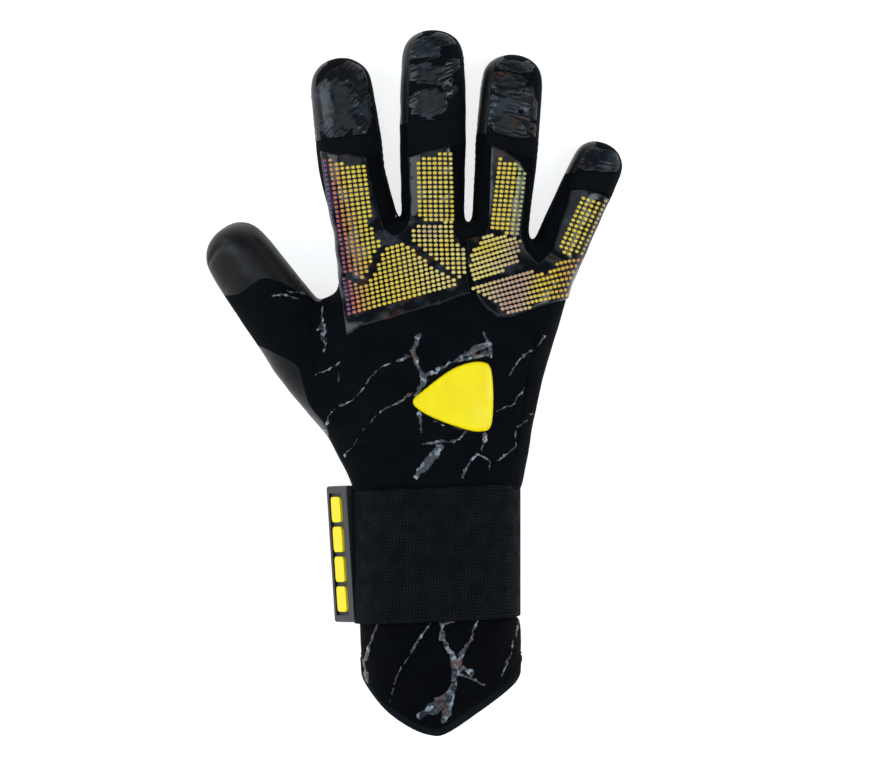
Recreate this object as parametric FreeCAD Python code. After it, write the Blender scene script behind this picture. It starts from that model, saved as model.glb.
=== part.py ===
"""Right-hand goalkeeper glove, lying palm down: FreeCAD model in millimetres.

Frame: +Y along the middle finger, +X towards the little finger, +Z up out of the back of the hand.
The origin is at the middle of the outline's box, on the plane that the palm rests on.
Every digit is built in its own frame (X across, Y along from the web, Z towards the back of the hand)
and is then placed. Each sub-part is written to parts/NAME.step.
"""

import FreeCAD
import Part
import math
import os

from FreeCAD import Vector

# ---------------------------------------------------------------- driving dimensions
FOAM = 4.0            # latex sheet of the palm
BACKING = 3.0         # foam and lining under the latex
BACK_WALL = 3.0       # backhand fabric with its foam
SIDE_WALL = 2.6       # gussets and side walls
FINGER_PALM = 5.5     # latex and lining of a digit's palm side
PAD_HEIGHT = 1.2      # moulded silicone pads on the back
BADGE_HEIGHT = 1.8
SEAM_GAP = 0.3        # free space between a flex band and its neighbours
BAND_HALF = 4.0       # half the width of a flex band on the back
MITRE_MARGIN = 0.8    # room left at the palm side of a bent joint
FAR = 200.0           # further than any part of the glove

# The wrist: a stadium section, the same for cuff and strap layers
WRIST_LEFT, WRIST_RIGHT = -22.0, 41.0
WRIST_LOW, WRIST_TOP = 4.0, 42.0
WRIST_RADIUS = 18.6
CUFF_WALL = 3.0
HAND_END = -50.0      # where the hand shell meets the cuff, under the strap
STRAP_TOP, STRAP_LOW = -43.5, -99.0
HEM_LIFT = 0.6        # how far the hem binding stands proud of the cuff
HEM_WIDTH = 3.6

# Layers around the cuff under and in the strap, as distances from the cuff's outside
LOOP_LAYER = (0.0, 0.9)
HOOK_LAYER = (1.2, 2.0)
BAND_LAYER = (2.0, 3.8)
ANCHOR_LAYER = (0.0, 1.6)
STRAP_HINGE_Z = 20.3

PILE_END_X = 8.0      # the hook and loop patches reach this far towards the little finger
PILE_LOW = 9.5        # and this far down from the back, above the wrist's middle
PILE_INSET = 2.0      # from the strap's long edges

TAB_LENGTH = 16.8     # along the strap
TAB_THICK = 3.8
TAB_SLOPE = 60.0      # degrees down from the horizontal
TAB_ROOT_ANGLE = 18.0 # degrees above the horizontal, round the wrist's thumb side
TAB_SLANT = 3.6       # degrees that the tab is turned in plan, its arm end inwards
TAB_CLEARANCE = 0.95  # from the strap's middle to the tab's, outwards from the wrist
TAB_OVERHANG = (0.6, 1.0)    # beyond the strap's long edges, hand side and arm side
TAB_CORNER = 1.2
RECESS_ENDS = (4.2, 1.7)     # from the tab's root and from its tip
RECESS_SIDE = 3.0            # from the tab's long edges
RECESS_DEPTH = 0.9
BLOCK_ENDS = (5.8, 3.4)      # the raised blocks, from the tab's root and from its tip
BLOCK_LENGTH, BLOCK_GAP, BLOCK_COUNT = 10.6, 1.9, 4
BLOCK_PROUD = 0.2            # above the tab's rim
BLOCK_CORNER = 1.6

# Digits. base is the point of the centreline at the web; lean is degrees towards the little finger.
# widths and depths are (at the web, at the middle joint, near the tip).
DIGITS = {
    "index": dict(base=(-22.6, 66.0), lean=-7.6, widths=(26.6, 26.8, 25.2), depths=(26.0, 24.0, 20.0),
                  knuckle=12.0, middle=33.5, tip=70.5, bend=(60.0, 70.0)),
    "middle": dict(base=(8.2, 66.0), lean=0.0, widths=(25.4, 27.4, 25.2), depths=(27.0, 25.0, 20.5),
                   knuckle=12.5, middle=34.5, tip=82.0, bend=(60.0, 70.0)),
    "ring": dict(base=(36.6, 66.0), lean=4.5, widths=(23.6, 26.0, 24.6), depths=(26.0, 24.0, 20.0),
                 knuckle=12.0, middle=33.5, tip=72.0, bend=(60.0, 70.0)),
    "little": dict(base=(59.9, 53.7), lean=24.6, widths=(21.2, 21.4, 20.6), depths=(23.0, 21.0, 18.0),
                   knuckle=10.0, middle=31.5, tip=51.0, bend=(60.0, 70.0)),
    "thumb": dict(base=(-51.7, 23.2), lean=-37.5, widths=(31.0, 28.6, 25.0), depths=(26.0, 24.0, 21.0),
                  knuckle=8.5, middle=29.0, tip=50.0, bend=(40.0, 55.0)),
}
THUMB_ROLL = 35.0     # the thumb's back faces outwards by this angle
THUMB_HEIGHT = 16.2   # its centreline's height
FINGER_CORNER = 0.38  # corner radius of a digit, as a share of its depth
HINGE_HEIGHT = 0.42   # height of a hinge axis, as a share of the digit's depth

HOLLOW_CORNER = 4.0   # a hollow's corners are this much tighter than its outside's
REACH = 2.0           # tools reach this far past the faces they cut
PAD_SIDE = 5.0        # from a finger's sides to its silicone strip
PAD_GAP = 0.5         # from the strip to the flex bands
PAD_LEVEL = 10.0      # the strip stays this far above a finger's lowest line
BACK_LEVEL = 18.0     # pads and badge lie above this height on the hand
SMALLEST_SOLID = 2.0  # mm3; anything smaller is a crumb of a cut
ROOT_OUTSIDE, ROOT_HOLLOW = -14.0, -22.0   # where a finger's root starts inside the hand

# The ball of the thumb: (place along the thumb, width, low, top, roll in degrees)
THUMB_ROOT = [(-46.0, 30.0, 0.0, 36.0, 0.0), (-20.0, 32.0, 0.6, 33.0, 12.0)]
THUMB_ROOT_CORNER = 14.0

UNDER = -0.3          # the palm's sections reach this low, and the rest plane trims them flat
FINGER_FLOOR = 0.25   # the fingers lie this far above the rest plane

# Cross-sections of the hand from the wrist to the webs: (y, left, right, low, top, corner radius)
HAND_SECTIONS = [
    (HAND_END, WRIST_LEFT, WRIST_RIGHT, WRIST_LOW, WRIST_TOP, WRIST_RADIUS),
    (STRAP_TOP + 0.4, WRIST_LEFT, WRIST_RIGHT, WRIST_LOW, WRIST_TOP, WRIST_RADIUS),
    (-39.5, -26.0, 45.4, 2.6, 43.4, 18.6),
    (-20.0, -36.4, 49.2, UNDER, 43.0, 17.0),
    (5.0, -38.0, 54.6, UNDER, 41.5, 16.0),
    (28.0, -36.0, 61.6, UNDER, 38.5, 15.0),
    (49.0, -34.0, 68.0, UNDER, 33.0, 13.0),
    (58.0, -34.0, 49.0, UNDER, 30.5, 12.0),
    (66.5, -34.0, 47.0, UNDER, 28.0, 11.0),
]

# Cross-sections of the cuff, from the hand to beyond the hem
CUFF_SECTIONS = [
    (HAND_END, WRIST_LEFT, WRIST_RIGHT, WRIST_LOW, WRIST_TOP, WRIST_RADIUS),
    (STRAP_LOW - 0.8, WRIST_LEFT, WRIST_RIGHT, WRIST_LOW, WRIST_TOP, WRIST_RADIUS),
    (-103.0, WRIST_LEFT, WRIST_RIGHT + 3.6, 2.6, WRIST_TOP + 0.8, WRIST_RADIUS),
    (-118.0, WRIST_LEFT + 0.2, WRIST_RIGHT + 4.2, 1.6, WRIST_TOP, WRIST_RADIUS),
    (-152.0, WRIST_LEFT + 2.0, WRIST_RIGHT + 3.6, 1.0, WRIST_TOP - 3.0, 18.0),
]

# The V-shaped lower edge of the cuff, seen from above
HEM_EDGE = [(WRIST_LEFT - 20.0, -116.0), (WRIST_LEFT + 0.6, -122.0), (WRIST_LEFT + 4.4, -132.8),
            (-6.5, -142.2), (1.5, -146.8), (8.0, -148.0), (15.0, -146.3), (30.0, -138.2),
            (WRIST_RIGHT + 2.6, -127.0), (WRIST_RIGHT + 24.6, -112.0)]


# ---------------------------------------------------------------- shapes
def rounded_section(left, right, low, high, radius, y):
    """A closed wire in the plane y: a rectangle with round corners."""
    r = min(radius, 0.499 * (right - left), 0.499 * (high - low))
    slant = r * (1.0 - math.sqrt(0.5))
    corners = [
        ((left, low + r), (left + slant, low + slant), (left + r, low)),
        ((right - r, low), (right - slant, low + slant), (right, low + r)),
        ((right, high - r), (right - slant, high - slant), (right - r, high)),
        ((left + r, high), (left + slant, high - slant), (left, high - r)),
    ]
    edges = []
    for i, (start, middle, end) in enumerate(corners):
        a, b, c = (Vector(x, y, z) for x, z in (start, middle, end))
        edges.append(Part.Arc(a, b, c).toShape())
        nxt = corners[(i + 1) % 4][0]
        edges.append(Part.LineSegment(c, Vector(nxt[0], y, nxt[1])).toShape())
    return Part.Wire(edges)


def loft(sections, inset=(0.0, 0.0, 0.0), corner_inset=None, ends=(0.0, 0.0)):
    """A solid through (y, left, right, low, high, radius) sections, its walls moved in.

    inset is (sides, bottom, top); ends moves the first and last section outwards along y.
    """
    side, bottom, top = inset
    wires = []
    for i, (y, left, right, low, high, radius) in enumerate(sections):
        if i == 0:
            y -= ends[0]
        if i == len(sections) - 1:
            y += ends[1]
        r = max(1.5, radius - (max(inset) if corner_inset is None else corner_inset))
        wires.append(rounded_section(left + side, right - side, low + bottom, high - top, r, y))
    return Part.makeLoft(wires, True, True)


def prism_xy(points, low=-FAR, high=FAR):
    """A straight prism over an outline in the plane of the palm."""
    face = Part.Face(Part.makePolygon([Vector(x, y, low) for x, y in points + points[:1]]))
    return face.extrude(Vector(0, 0, high - low))


def prism_yz(points, half_width=FAR):
    """A straight prism across a digit over an outline in its Y-Z plane."""
    face = Part.Face(Part.makePolygon([Vector(-half_width, y, z) for y, z in points + points[:1]]))
    return face.extrude(Vector(2 * half_width, 0, 0))


def block(x0, x1, y0, y1, z0, z1):
    return Part.makeBox(x1 - x0, y1 - y0, z1 - z0, Vector(x0, y0, z0))


def save(name, shape):
    """Writes one sub-part, and prints its size."""
    solids = shape.Solids
    keep = [s for s in solids if s.Volume > SMALLEST_SOLID]
    made = Part.makeCompound(keep) if len(keep) > 1 else keep[0]
    made.exportStep("parts/%s.step" % name)
    box = made.BoundBox
    print("%-22s %d solid(s) %8.0f mm3  %s  x %.1f..%.1f y %.1f..%.1f z %.1f..%.1f" % (
        name, len(keep), made.Volume, "ok" if made.isValid() else "INVALID",
        box.XMin, box.XMax, box.YMin, box.YMax, box.ZMin, box.ZMax))
    return made


# ---------------------------------------------------------------- digits
class Digit:
    """One finger or the thumb, in its own frame: X across, Y along from the web, Z to the back."""

    def __init__(self, name, base, lean, widths, depths, knuckle, middle, tip, bend):
        self.name, self.tip = name, tip
        self.widths, self.depths = widths, depths
        self.hinges = (knuckle, middle)
        self.bend = bend
        rolled = name == "thumb"
        self.floor = -0.5 * depths[0] if rolled else FINGER_FLOOR
        turn = FreeCAD.Rotation(Vector(0, 0, 1), -lean)
        if rolled:
            turn = turn.multiply(FreeCAD.Rotation(Vector(0, 1, 0), -THUMB_ROLL))
        self.place = FreeCAD.Placement(Vector(base[0], base[1], THUMB_HEIGHT if rolled else 0.0), turn)

    def at(self, triple, s):
        """A size at the distance s from the web, from its values at the web, middle joint and tip."""
        base, middle, tip = triple
        if s < self.hinges[1]:
            return base + (middle - base) * max(s, 0.0) / self.hinges[1]
        share = (s - self.hinges[1]) / (self.tip - self.hinges[1])
        return middle + (tip - middle) * share

    def section(self, s, shrink=1.0):
        """The section at s; shrink narrows it about its own middle, as at the fingertip."""
        width, depth = self.at(self.widths, s), self.at(self.depths, s)
        middle = self.floor + 0.5 * depth
        half_w, half_d = 0.5 * width * shrink, 0.5 * depth * (0.35 + 0.65 * shrink)
        radius = FINGER_CORNER * depth * shrink
        return (s, -half_w, half_w, middle - half_d, middle + half_d, radius)

    def stations(self, start, end):
        """Sections from start to end, with the round tip where end is the tip."""
        if end < self.tip:
            marks = [start] + [m for m in self.hinges if start < m < end] + [end]
            return [self.section(s) for s in marks]
        dome = 0.5 * self.widths[2]
        found = [self.section(s) for s in (start, self.hinges[1], self.tip - dome) if s >= start]
        for angle in (25.0, 45.0, 62.0, 76.0, 87.0):
            a = math.radians(angle)
            found.append(self.section(self.tip - dome * (1.0 - math.sin(a)), math.cos(a)))
        return found

    def outside(self, start, end, grow=0.0):
        return loft(self.stations(start, end), (-grow, -grow, -grow))

    def hollow(self, start, end):
        """The space for the finger inside, open past start and end unless end is the tip."""
        inset = (SIDE_WALL, FINGER_PALM, BACK_WALL)
        if end < self.tip:
            return loft(self.stations(start, end), inset, 0.55 * FINGER_CORNER * self.depths[0], (1.0, 1.0))
        last = self.tip - 7.0
        marks = [self.section(s) for s in (start, last - 6.0)] + [self.section(last, 0.72)]
        return loft(marks, inset, 0.5 * FINGER_CORNER * self.depths[2], (1.0, 0.0))

    def hinge_height(self, number):
        return self.floor + HINGE_HEIGHT * self.at(self.depths, self.hinges[number])

    def gap(self, number, spare=0.0):
        """The wedge that a joint keeps free: narrow on the back, wide at the palm side."""
        s, z = self.hinges[number], self.hinge_height(number)
        reach = (z - self.floor) * math.tan(math.radians(0.5 * self.bend[number])) + MITRE_MARGIN
        back, palm = BAND_HALF - spare, max(BAND_HALF, reach) - spare
        deep = self.floor - 1.0
        return prism_yz([(s - back, FAR), (s - back, z), (s - palm, self.floor), (s - palm, deep),
                         (s + palm, deep), (s + palm, self.floor), (s + back, z), (s + back, FAR)])

    def flex_sleeve(self, number):
        """The stretch band round one joint, clear of the parts on either side."""
        s = self.hinges[number]
        tube = self.outside(s - 14.0, s + 14.0).cut(self.hollow(s - 14.0, s + 14.0))
        sleeve = tube.common(self.gap(number, SEAM_GAP))
        if self.name == "thumb":
            return sleeve
        lifted = block(-FAR, FAR, -FAR, FAR, self.floor + SEAM_GAP, FAR)
        return sleeve.common(lifted)

    def above(self, start, end, drop):
        """The half space above the digit's back surface lowered by drop."""
        low = [(s, self.section(s)[4] - drop) for s in (start, end)]
        slope = (low[1][1] - low[0][1]) / (end - start)
        ends = [(start - 20.0, low[0][1] - 20.0 * slope), (end + 20.0, low[1][1] + 20.0 * slope)]
        return prism_yz(ends + [(end + 20.0, FAR), (start - 20.0, FAR)])

    def below(self, height):
        return block(-FAR, FAR, -FAR, FAR, -FAR, self.floor + height)

    def save(self, suffix, shape):
        shape = shape.copy()
        shape.Placement = self.place.multiply(shape.Placement)
        return save("%s_%s" % (self.name, suffix), shape)

    def lower_part(self):
        """Between the knuckle joint and the middle joint: back, palm and two gussets."""
        start, end = self.hinges
        tube = self.outside(start - REACH, end + REACH).cut(self.hollow(start - REACH, end + REACH))
        tube = tube.cut(self.gap(0)).cut(self.gap(1))
        tube = tube.common(block(-FAR, FAR, start, end, -FAR, FAR))
        back = tube.common(self.above(start, end, BACK_WALL))
        palm = tube.common(self.below(FINGER_PALM))
        sides = tube.cut(self.above(start, end, BACK_WALL)).cut(self.below(FINGER_PALM))
        self.save("lower_back", back)
        self.save("lower_palm", palm)
        self.save("lower_gussets", sides)

    def back_pad(self):
        """The silicone pad on the back, between the two flex bands."""
        start, end = self.hinges
        rind = self.outside(start, end, PAD_HEIGHT).cut(self.outside(start - REACH, end + REACH))
        half = 0.5 * self.widths[0] - PAD_SIDE
        inset = BAND_HALF + PAD_GAP
        window = block(-half, half, start + inset, end - inset, self.floor + PAD_LEVEL, FAR)
        self.save("back_pad", rind.common(window))

    def tip_part(self):
        """Beyond the middle joint: the printed back cap and the wrapped palm side."""
        start = self.hinges[1]
        shell = self.outside(start - REACH, self.tip).cut(self.hollow(start - REACH, self.tip))
        shell = shell.cut(self.gap(1)).common(block(-FAR, FAR, start, FAR, -FAR, FAR))
        cut = self.above(start, self.tip, BACK_WALL)
        self.save("tip_back", shell.common(cut))
        rest = shell.cut(cut)
        self.save("tip_palm", rest.common(self.below(FINGER_PALM)))
        self.save("tip_wrap", rest.cut(self.below(FINGER_PALM)))


def make_digits():
    digits = {name: Digit(name, **sizes) for name, sizes in DIGITS.items()}
    for digit in digits.values():
        digit.lower_part()
        digit.tip_part()
        digit.save("knuckle_flex", digit.flex_sleeve(0))
        digit.save("flex_band", digit.flex_sleeve(1))
        if digit.name != "thumb":
            digit.back_pad()
    return digits


# ---------------------------------------------------------------- hand
def thumb_root(thumb, grow=0.0, hollow=False):
    """The ball of the thumb: a tube from inside the hand that turns into the thumb's own section."""
    inset = (SIDE_WALL, FINGER_PALM, BACK_WALL) if hollow else (-grow, -grow, -grow)
    corner = THUMB_ROOT_CORNER - HOLLOW_CORNER if hollow else THUMB_ROOT_CORNER + grow
    wires = []
    for s, width, low, top, roll in THUMB_ROOT:
        middle = 0.5 * (low + top)
        wire = rounded_section(-0.5 * width + inset[0], 0.5 * width - inset[0],
                               low - middle + inset[1], top - middle - inset[2], corner, 0.0)
        turn = FreeCAD.Rotation(Vector(0, 0, 1), -DIGITS["thumb"]["lean"])
        turn = turn.multiply(FreeCAD.Rotation(Vector(0, 1, 0), -roll))
        along = FreeCAD.Rotation(Vector(0, 0, 1), -DIGITS["thumb"]["lean"]).multVec(Vector(0, s, 0))
        base = Vector(*DIGITS["thumb"]["base"], middle)
        wire.Placement = FreeCAD.Placement(base + along, turn)
        wires.append(wire)
    for s in (0.0, thumb.hinges[0]):
        y, left, right, low, high, radius = thumb.section(s)
        y += 1.0 if hollow and s > 0 else 0.0
        r = radius * 0.55 if hollow else radius + grow
        wire = rounded_section(left + inset[0], right - inset[0], low + inset[1], high - inset[2], r, y)
        wire.Placement = thumb.place
        wires.append(wire)
    return Part.makeLoft(wires, True, True)


def hand_outside(digits, grow=0.0):
    """The whole outside of the hand, webs and finger roots, without a hollow."""
    solid = loft(HAND_SECTIONS, (-grow, -grow, -grow), -grow)
    for digit in digits.values():
        if digit.name != "thumb":
            root = digit.outside(ROOT_OUTSIDE, digit.hinges[0], grow)
            root.Placement = digit.place
            solid = solid.fuse(root)
    return solid.fuse(thumb_root(digits["thumb"], grow))


def hand_hollow(digits):
    inset = (SIDE_WALL, FOAM + BACKING, BACK_WALL)
    solid = loft(HAND_SECTIONS[:-1], inset, HOLLOW_CORNER, (1.0, 0.0))
    for digit in digits.values():
        if digit.name != "thumb":
            root = digit.hollow(ROOT_HOLLOW, digit.hinges[0])
            root.Placement = digit.place
            solid = solid.fuse(root)
    return solid.fuse(thumb_root(digits["thumb"], hollow=True))


def cut_gaps(solid, digits):
    """Takes away what lies past each knuckle joint, with the room that the joint needs."""
    for digit in digits.values():
        ends = digit.gap(0)
        beyond = block(-FAR, FAR, digit.hinges[0], FAR, -FAR, FAR)
        around = block(-20.0, 20.0, -10.0, FAR, -FAR, FAR)
        for tool in (ends.common(around), beyond.common(around)):
            tool.Placement = digit.place
            solid = solid.cut(tool)
    return solid


def make_hand(digits):
    outside = hand_outside(digits)
    shell = cut_gaps(outside.cut(hand_hollow(digits)), digits)
    whole = FOAM + BACKING
    save("palm_latex", shell.common(block(-FAR, FAR, -FAR, FAR, 0.0, FOAM)))
    save("palm_backing", shell.common(block(-FAR, FAR, -FAR, FAR, FOAM, whole)))
    save("backhand_panel", shell.common(block(-FAR, FAR, -FAR, FAR, whole, FAR)))
    return outside


# Outlines on the back of the hand, in the plane of the palm
INNER_PAD = [(-27.5, 27.5), (-33.0, 66.0), (-10.5, 70.0), (-6.5, 63.0), (-2.0, 70.0), (17.5, 70.0),
             (19.0, 60.0), (24.0, 52.0), (24.0, 42.0), (18.0, 40.0), (0.0, 34.0)]
OUTER_PAD = [(25.2, 42.0), (25.2, 60.0), (28.5, 69.0), (44.0, 68.0), (50.0, 53.0), (60.5, 60.5),
             (69.0, 57.0), (66.5, 37.0), (52.0, 31.0), (40.0, 27.5)]
BADGE = [(-0.2, -8.0), (5.0, -13.0), (17.0, -18.0), (27.5, -20.4), (32.6, -16.5), (32.6, 4.0),
         (28.0, 8.6), (17.0, 6.0), (5.0, -2.6)]


def make_back_pieces(digits, outside):
    """Silicone pads and the badge: each follows the back of the hand."""
    upper = block(-FAR, FAR, -FAR, FAR, BACK_LEVEL, FAR)
    rind = hand_outside(digits, PAD_HEIGHT).cut(outside).common(upper)
    rind = cut_gaps(rind, digits)
    save("knuckle_pad_inner", rind.common(prism_xy(INNER_PAD)))
    save("knuckle_pad_outer", rind.common(prism_xy(OUTER_PAD)))
    tall = loft(HAND_SECTIONS, (-BADGE_HEIGHT,) * 3, -BADGE_HEIGHT).cut(outside).common(upper)
    save("back_badge", tall.common(prism_xy(BADGE)))


# ---------------------------------------------------------------- cuff
def hem_outline(inside):
    """The V-shaped lower edge of the cuff, as a prism outline; inside moves the edge up the cuff."""
    far_left, far_right = HEM_EDGE[0][0], HEM_EDGE[-1][0]
    return [(x, y + inside) for x, y in HEM_EDGE] + [(far_right, FAR), (far_left, FAR)]


def make_cuff():
    outside, inside = loft(CUFF_SECTIONS), loft(CUFF_SECTIONS, (CUFF_WALL,) * 3, ends=(1.0, 1.0))
    tube = outside.cut(inside)
    body = tube.common(prism_xy(hem_outline(HEM_WIDTH)))
    middle = 0.5 * (WRIST_LOW + WRIST_TOP)
    save("cuff_back", body.common(block(-FAR, FAR, -FAR, FAR, middle, FAR)))
    save("cuff_palm", body.common(block(-FAR, FAR, -FAR, FAR, -FAR, middle)))
    thick = loft(CUFF_SECTIONS, (-HEM_LIFT,) * 3, -HEM_LIFT)
    thick = thick.cut(loft(CUFF_SECTIONS, (CUFF_WALL + HEM_LIFT,) * 3, ends=(1.0, 1.0)))
    edge = prism_xy(hem_outline(0.0)).cut(prism_xy(hem_outline(HEM_WIDTH)))
    save("hem_binding", thick.common(edge))


def layer(inner, outer):
    """A ring round the wrist between two distances from the cuff's outside."""
    section = (WRIST_LEFT, WRIST_RIGHT, WRIST_LOW, WRIST_TOP, WRIST_RADIUS)
    ends = [(y,) + section for y in (STRAP_LOW, STRAP_TOP)]
    return loft(ends, (-outer,) * 3, -outer).cut(loft(ends, (-inner,) * 3, -inner, (1.0, 1.0)))


def make_strap():
    """The elastic wrist strap: sewn part, free band, hook and loop patches and the moulded tab."""
    radius = 0.5 * (WRIST_TOP - WRIST_LOW)
    centre = Vector(WRIST_LEFT + radius, 0, WRIST_LOW + radius)
    sewn = layer(*ANCHOR_LAYER)
    low_part = sewn.common(block(-FAR, FAR, -FAR, FAR, -FAR, STRAP_HINGE_Z - 0.5))
    lap = sewn.common(block(WRIST_RIGHT - radius, FAR, -FAR, FAR, STRAP_HINGE_Z - 0.5, STRAP_HINGE_Z + 6.0))
    save("strap_anchor", low_part.fuse(lap).removeSplitter())

    shoulder = block(-FAR, PILE_END_X, -FAR, FAR, centre.z + PILE_LOW, FAR)
    trim = block(-FAR, FAR, STRAP_LOW + PILE_INSET, STRAP_TOP - PILE_INSET, -FAR, FAR)
    save("loop_patch", layer(*LOOP_LAYER).common(shoulder).common(trim))
    save("hook_patch", layer(*HOOK_LAYER).common(shoulder).common(trim))

    # the tab hangs from the band's end, down and away from the wrist
    a, slope = math.radians(TAB_ROOT_ANGLE), math.radians(TAB_SLOPE)
    mid = radius + 0.5 * (BAND_LAYER[0] + BAND_LAYER[1]) + TAB_CLEARANCE
    root = centre + Vector(-math.cos(a), 0, math.sin(a)) * mid

    def slanted(shape):
        """Turns a shape about the upright line through the middle of the tab's root."""
        pivot = Vector(root.x, 0.5 * (STRAP_LOW + STRAP_TOP), 0)
        shape = shape.copy()
        shape.rotate(pivot, Vector(0, 0, 1), TAB_SLANT)
        return shape

    along, out = Vector(-math.cos(slope), 0, -math.sin(slope)), Vector(-math.sin(slope), 0, math.cos(slope))
    band = layer(*BAND_LAYER)
    lower_right = block(WRIST_RIGHT - radius, FAR, -FAR, FAR, -FAR, STRAP_HINGE_Z + 0.3)
    lower_left = block(-FAR, WRIST_RIGHT - radius + 1.0, -FAR, FAR, -FAR, centre.z)
    beyond = block(0.0, FAR, -FAR, FAR, -FAR, FAR)
    beyond.Placement = FreeCAD.Placement(
        root - along * SEAM_GAP, FreeCAD.Rotation(Vector(0, 1, 0), 180.0 - TAB_SLOPE))
    beyond = beyond.common(block(-FAR, centre.x, -FAR, FAR, -FAR, FAR))
    save("strap_band", band.cut(lower_right).cut(lower_left).cut(slanted(beyond)))

    hinge = root + out * 0.5 * TAB_THICK
    print("strap hinge x %.2f z %.2f; tab hinge x %.2f z %.2f" % (
        WRIST_RIGHT + BAND_LAYER[1] + 0.2, STRAP_HINGE_Z, hinge.x, hinge.z))

    def bar(start, end, low, high, y0, y1):
        """A bar on the tab: start and end along it, low and high above its middle plane."""
        corners = [root + along * s + out * h for s, h in
                   ((start, low), (end, low), (end, high), (start, high))]
        for c in corners:
            c.y = y0
        face = Part.Face(Part.makePolygon(corners + corners[:1]))
        return face.extrude(Vector(0, y1 - y0, 0))

    half = 0.5 * TAB_THICK
    y0, y1 = STRAP_LOW - TAB_OVERHANG[1], STRAP_TOP + TAB_OVERHANG[0]
    tab = bar(0.0, TAB_LENGTH, -half, half, y0, y1)
    round_edges = [e for e in tab.Edges if abs(e.Length - TAB_LENGTH) < 0.01]
    tab = tab.makeFillet(TAB_CORNER, round_edges)
    floor = half - RECESS_DEPTH
    recess = bar(RECESS_ENDS[0], TAB_LENGTH - RECESS_ENDS[1], floor, half + TAB_THICK,
                 y0 + RECESS_SIDE, y1 - RECESS_SIDE)
    save("pull_tab", slanted(tab.cut(recess)))
    blocks = []
    step = BLOCK_LENGTH + BLOCK_GAP
    start = 0.5 * (y0 + y1) - 0.5 * (BLOCK_COUNT * step - BLOCK_GAP)
    for i in range(BLOCK_COUNT):
        low = start + i * step
        piece = bar(BLOCK_ENDS[0], TAB_LENGTH - BLOCK_ENDS[1], floor, half + BLOCK_PROUD, low, low + BLOCK_LENGTH)
        upright = [e for e in piece.Edges if abs(e.Length - RECESS_DEPTH - BLOCK_PROUD) < 0.01]
        blocks.append(piece.makeFillet(BLOCK_CORNER, upright))
    save("tab_blocks", slanted(Part.makeCompound(blocks)))


os.makedirs("parts", exist_ok=True)
fingers = make_digits()
make_back_pieces(fingers, make_hand(fingers))
make_cuff()
make_strap()
for finger in fingers.values():
    for i, label in enumerate(("knuckle", "middle")):
        here = finger.place.multVec(Vector(0, finger.hinges[i], finger.hinge_height(i)))
        axis = finger.place.Rotation.multVec(Vector(-1, 0, 0))
        print("%s_%s hinge (%.3f, %.3f, %.3f) axis (%.4f, %.4f, %.4f)" % (
            finger.name, label, here.x, here.y, here.z, axis.x, axis.y, axis.z))
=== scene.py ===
"""Goalkeeper glove, palm down: the visual model around the CAD frame.

Lengths are in millimetres in the shape code and become metres when a mesh is made.
The glove's skin is one closed surface: tubes for hand, fingers and thumb are joined, smoothed and
folded, then cut into the pieces that ride on each body or lie over a joint. The silicone pads, the
glossy print and the badge are raised patches that follow the skin.
"""

import math

import bpy
import numpy as np
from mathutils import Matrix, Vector
from mathutils.bvhtree import BVHTree


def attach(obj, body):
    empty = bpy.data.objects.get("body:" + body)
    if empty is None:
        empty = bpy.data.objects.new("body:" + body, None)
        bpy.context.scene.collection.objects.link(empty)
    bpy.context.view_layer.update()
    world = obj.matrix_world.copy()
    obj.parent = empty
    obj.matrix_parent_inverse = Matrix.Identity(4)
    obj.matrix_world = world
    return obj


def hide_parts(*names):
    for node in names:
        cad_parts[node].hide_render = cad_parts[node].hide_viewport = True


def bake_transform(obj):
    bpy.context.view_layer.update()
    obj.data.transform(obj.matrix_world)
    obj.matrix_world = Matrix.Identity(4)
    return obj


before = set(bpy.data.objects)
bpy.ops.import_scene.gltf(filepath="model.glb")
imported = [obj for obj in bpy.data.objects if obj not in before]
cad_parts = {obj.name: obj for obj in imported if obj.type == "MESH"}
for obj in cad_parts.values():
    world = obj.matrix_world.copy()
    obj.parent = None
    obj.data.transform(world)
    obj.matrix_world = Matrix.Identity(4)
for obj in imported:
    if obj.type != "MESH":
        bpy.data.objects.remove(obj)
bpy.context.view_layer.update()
MM = 0.001

# ---------------------------------------------------------------- driving dimensions
VOXEL = 1.15            # size of the skin's mesh
SMOOTHING = 12          # rounds of smoothing over the skin's joins
PAD_HEIGHT = 0.85       # moulded silicone over the skin
PAD_LOW = 16.2          # lowest edge of the silicone on the sides of the fingers
PRINT_HEIGHT = 0.4      # glossy print over the skin
VEINS_LOW = (18.0, 20.0)        # lowest print on the hand's sides and on the cuff's
BADGE_HEIGHT = 1.5
DOT_SIZE = (0.92, 0.75, 0.75)   # half width, half length and height of a dot
STEEPEST_DOT = 0.42             # least upward share of the skin's normal under a dot
DOT_PITCH = (2.14, 1.98)        # across and along
HAND_END = -50.0        # the hand's skin ends under the strap
FINGER_FLOOR = 0.25     # height of the fingers' underside
FINGER_ROOT = -24.0     # where the fingers' tubes start inside the hand
FLEX_HEIGHT = 0.4       # stretch bands over the skin
THUMB_ROLL = 35.0       # degrees
THUMB_HEIGHT = 16.2
THUMB_SIDE = -38.0      # the thumb's joints bend only what lies past this, across the glove
PALM_SHARE = 0.36       # share of a digit's depth where the palm's latex meets its side
PALM_EDGE, PALM_RISE = 7.0, 2.4  # the same edge's height on the hand, and its rise at the fingers

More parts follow.
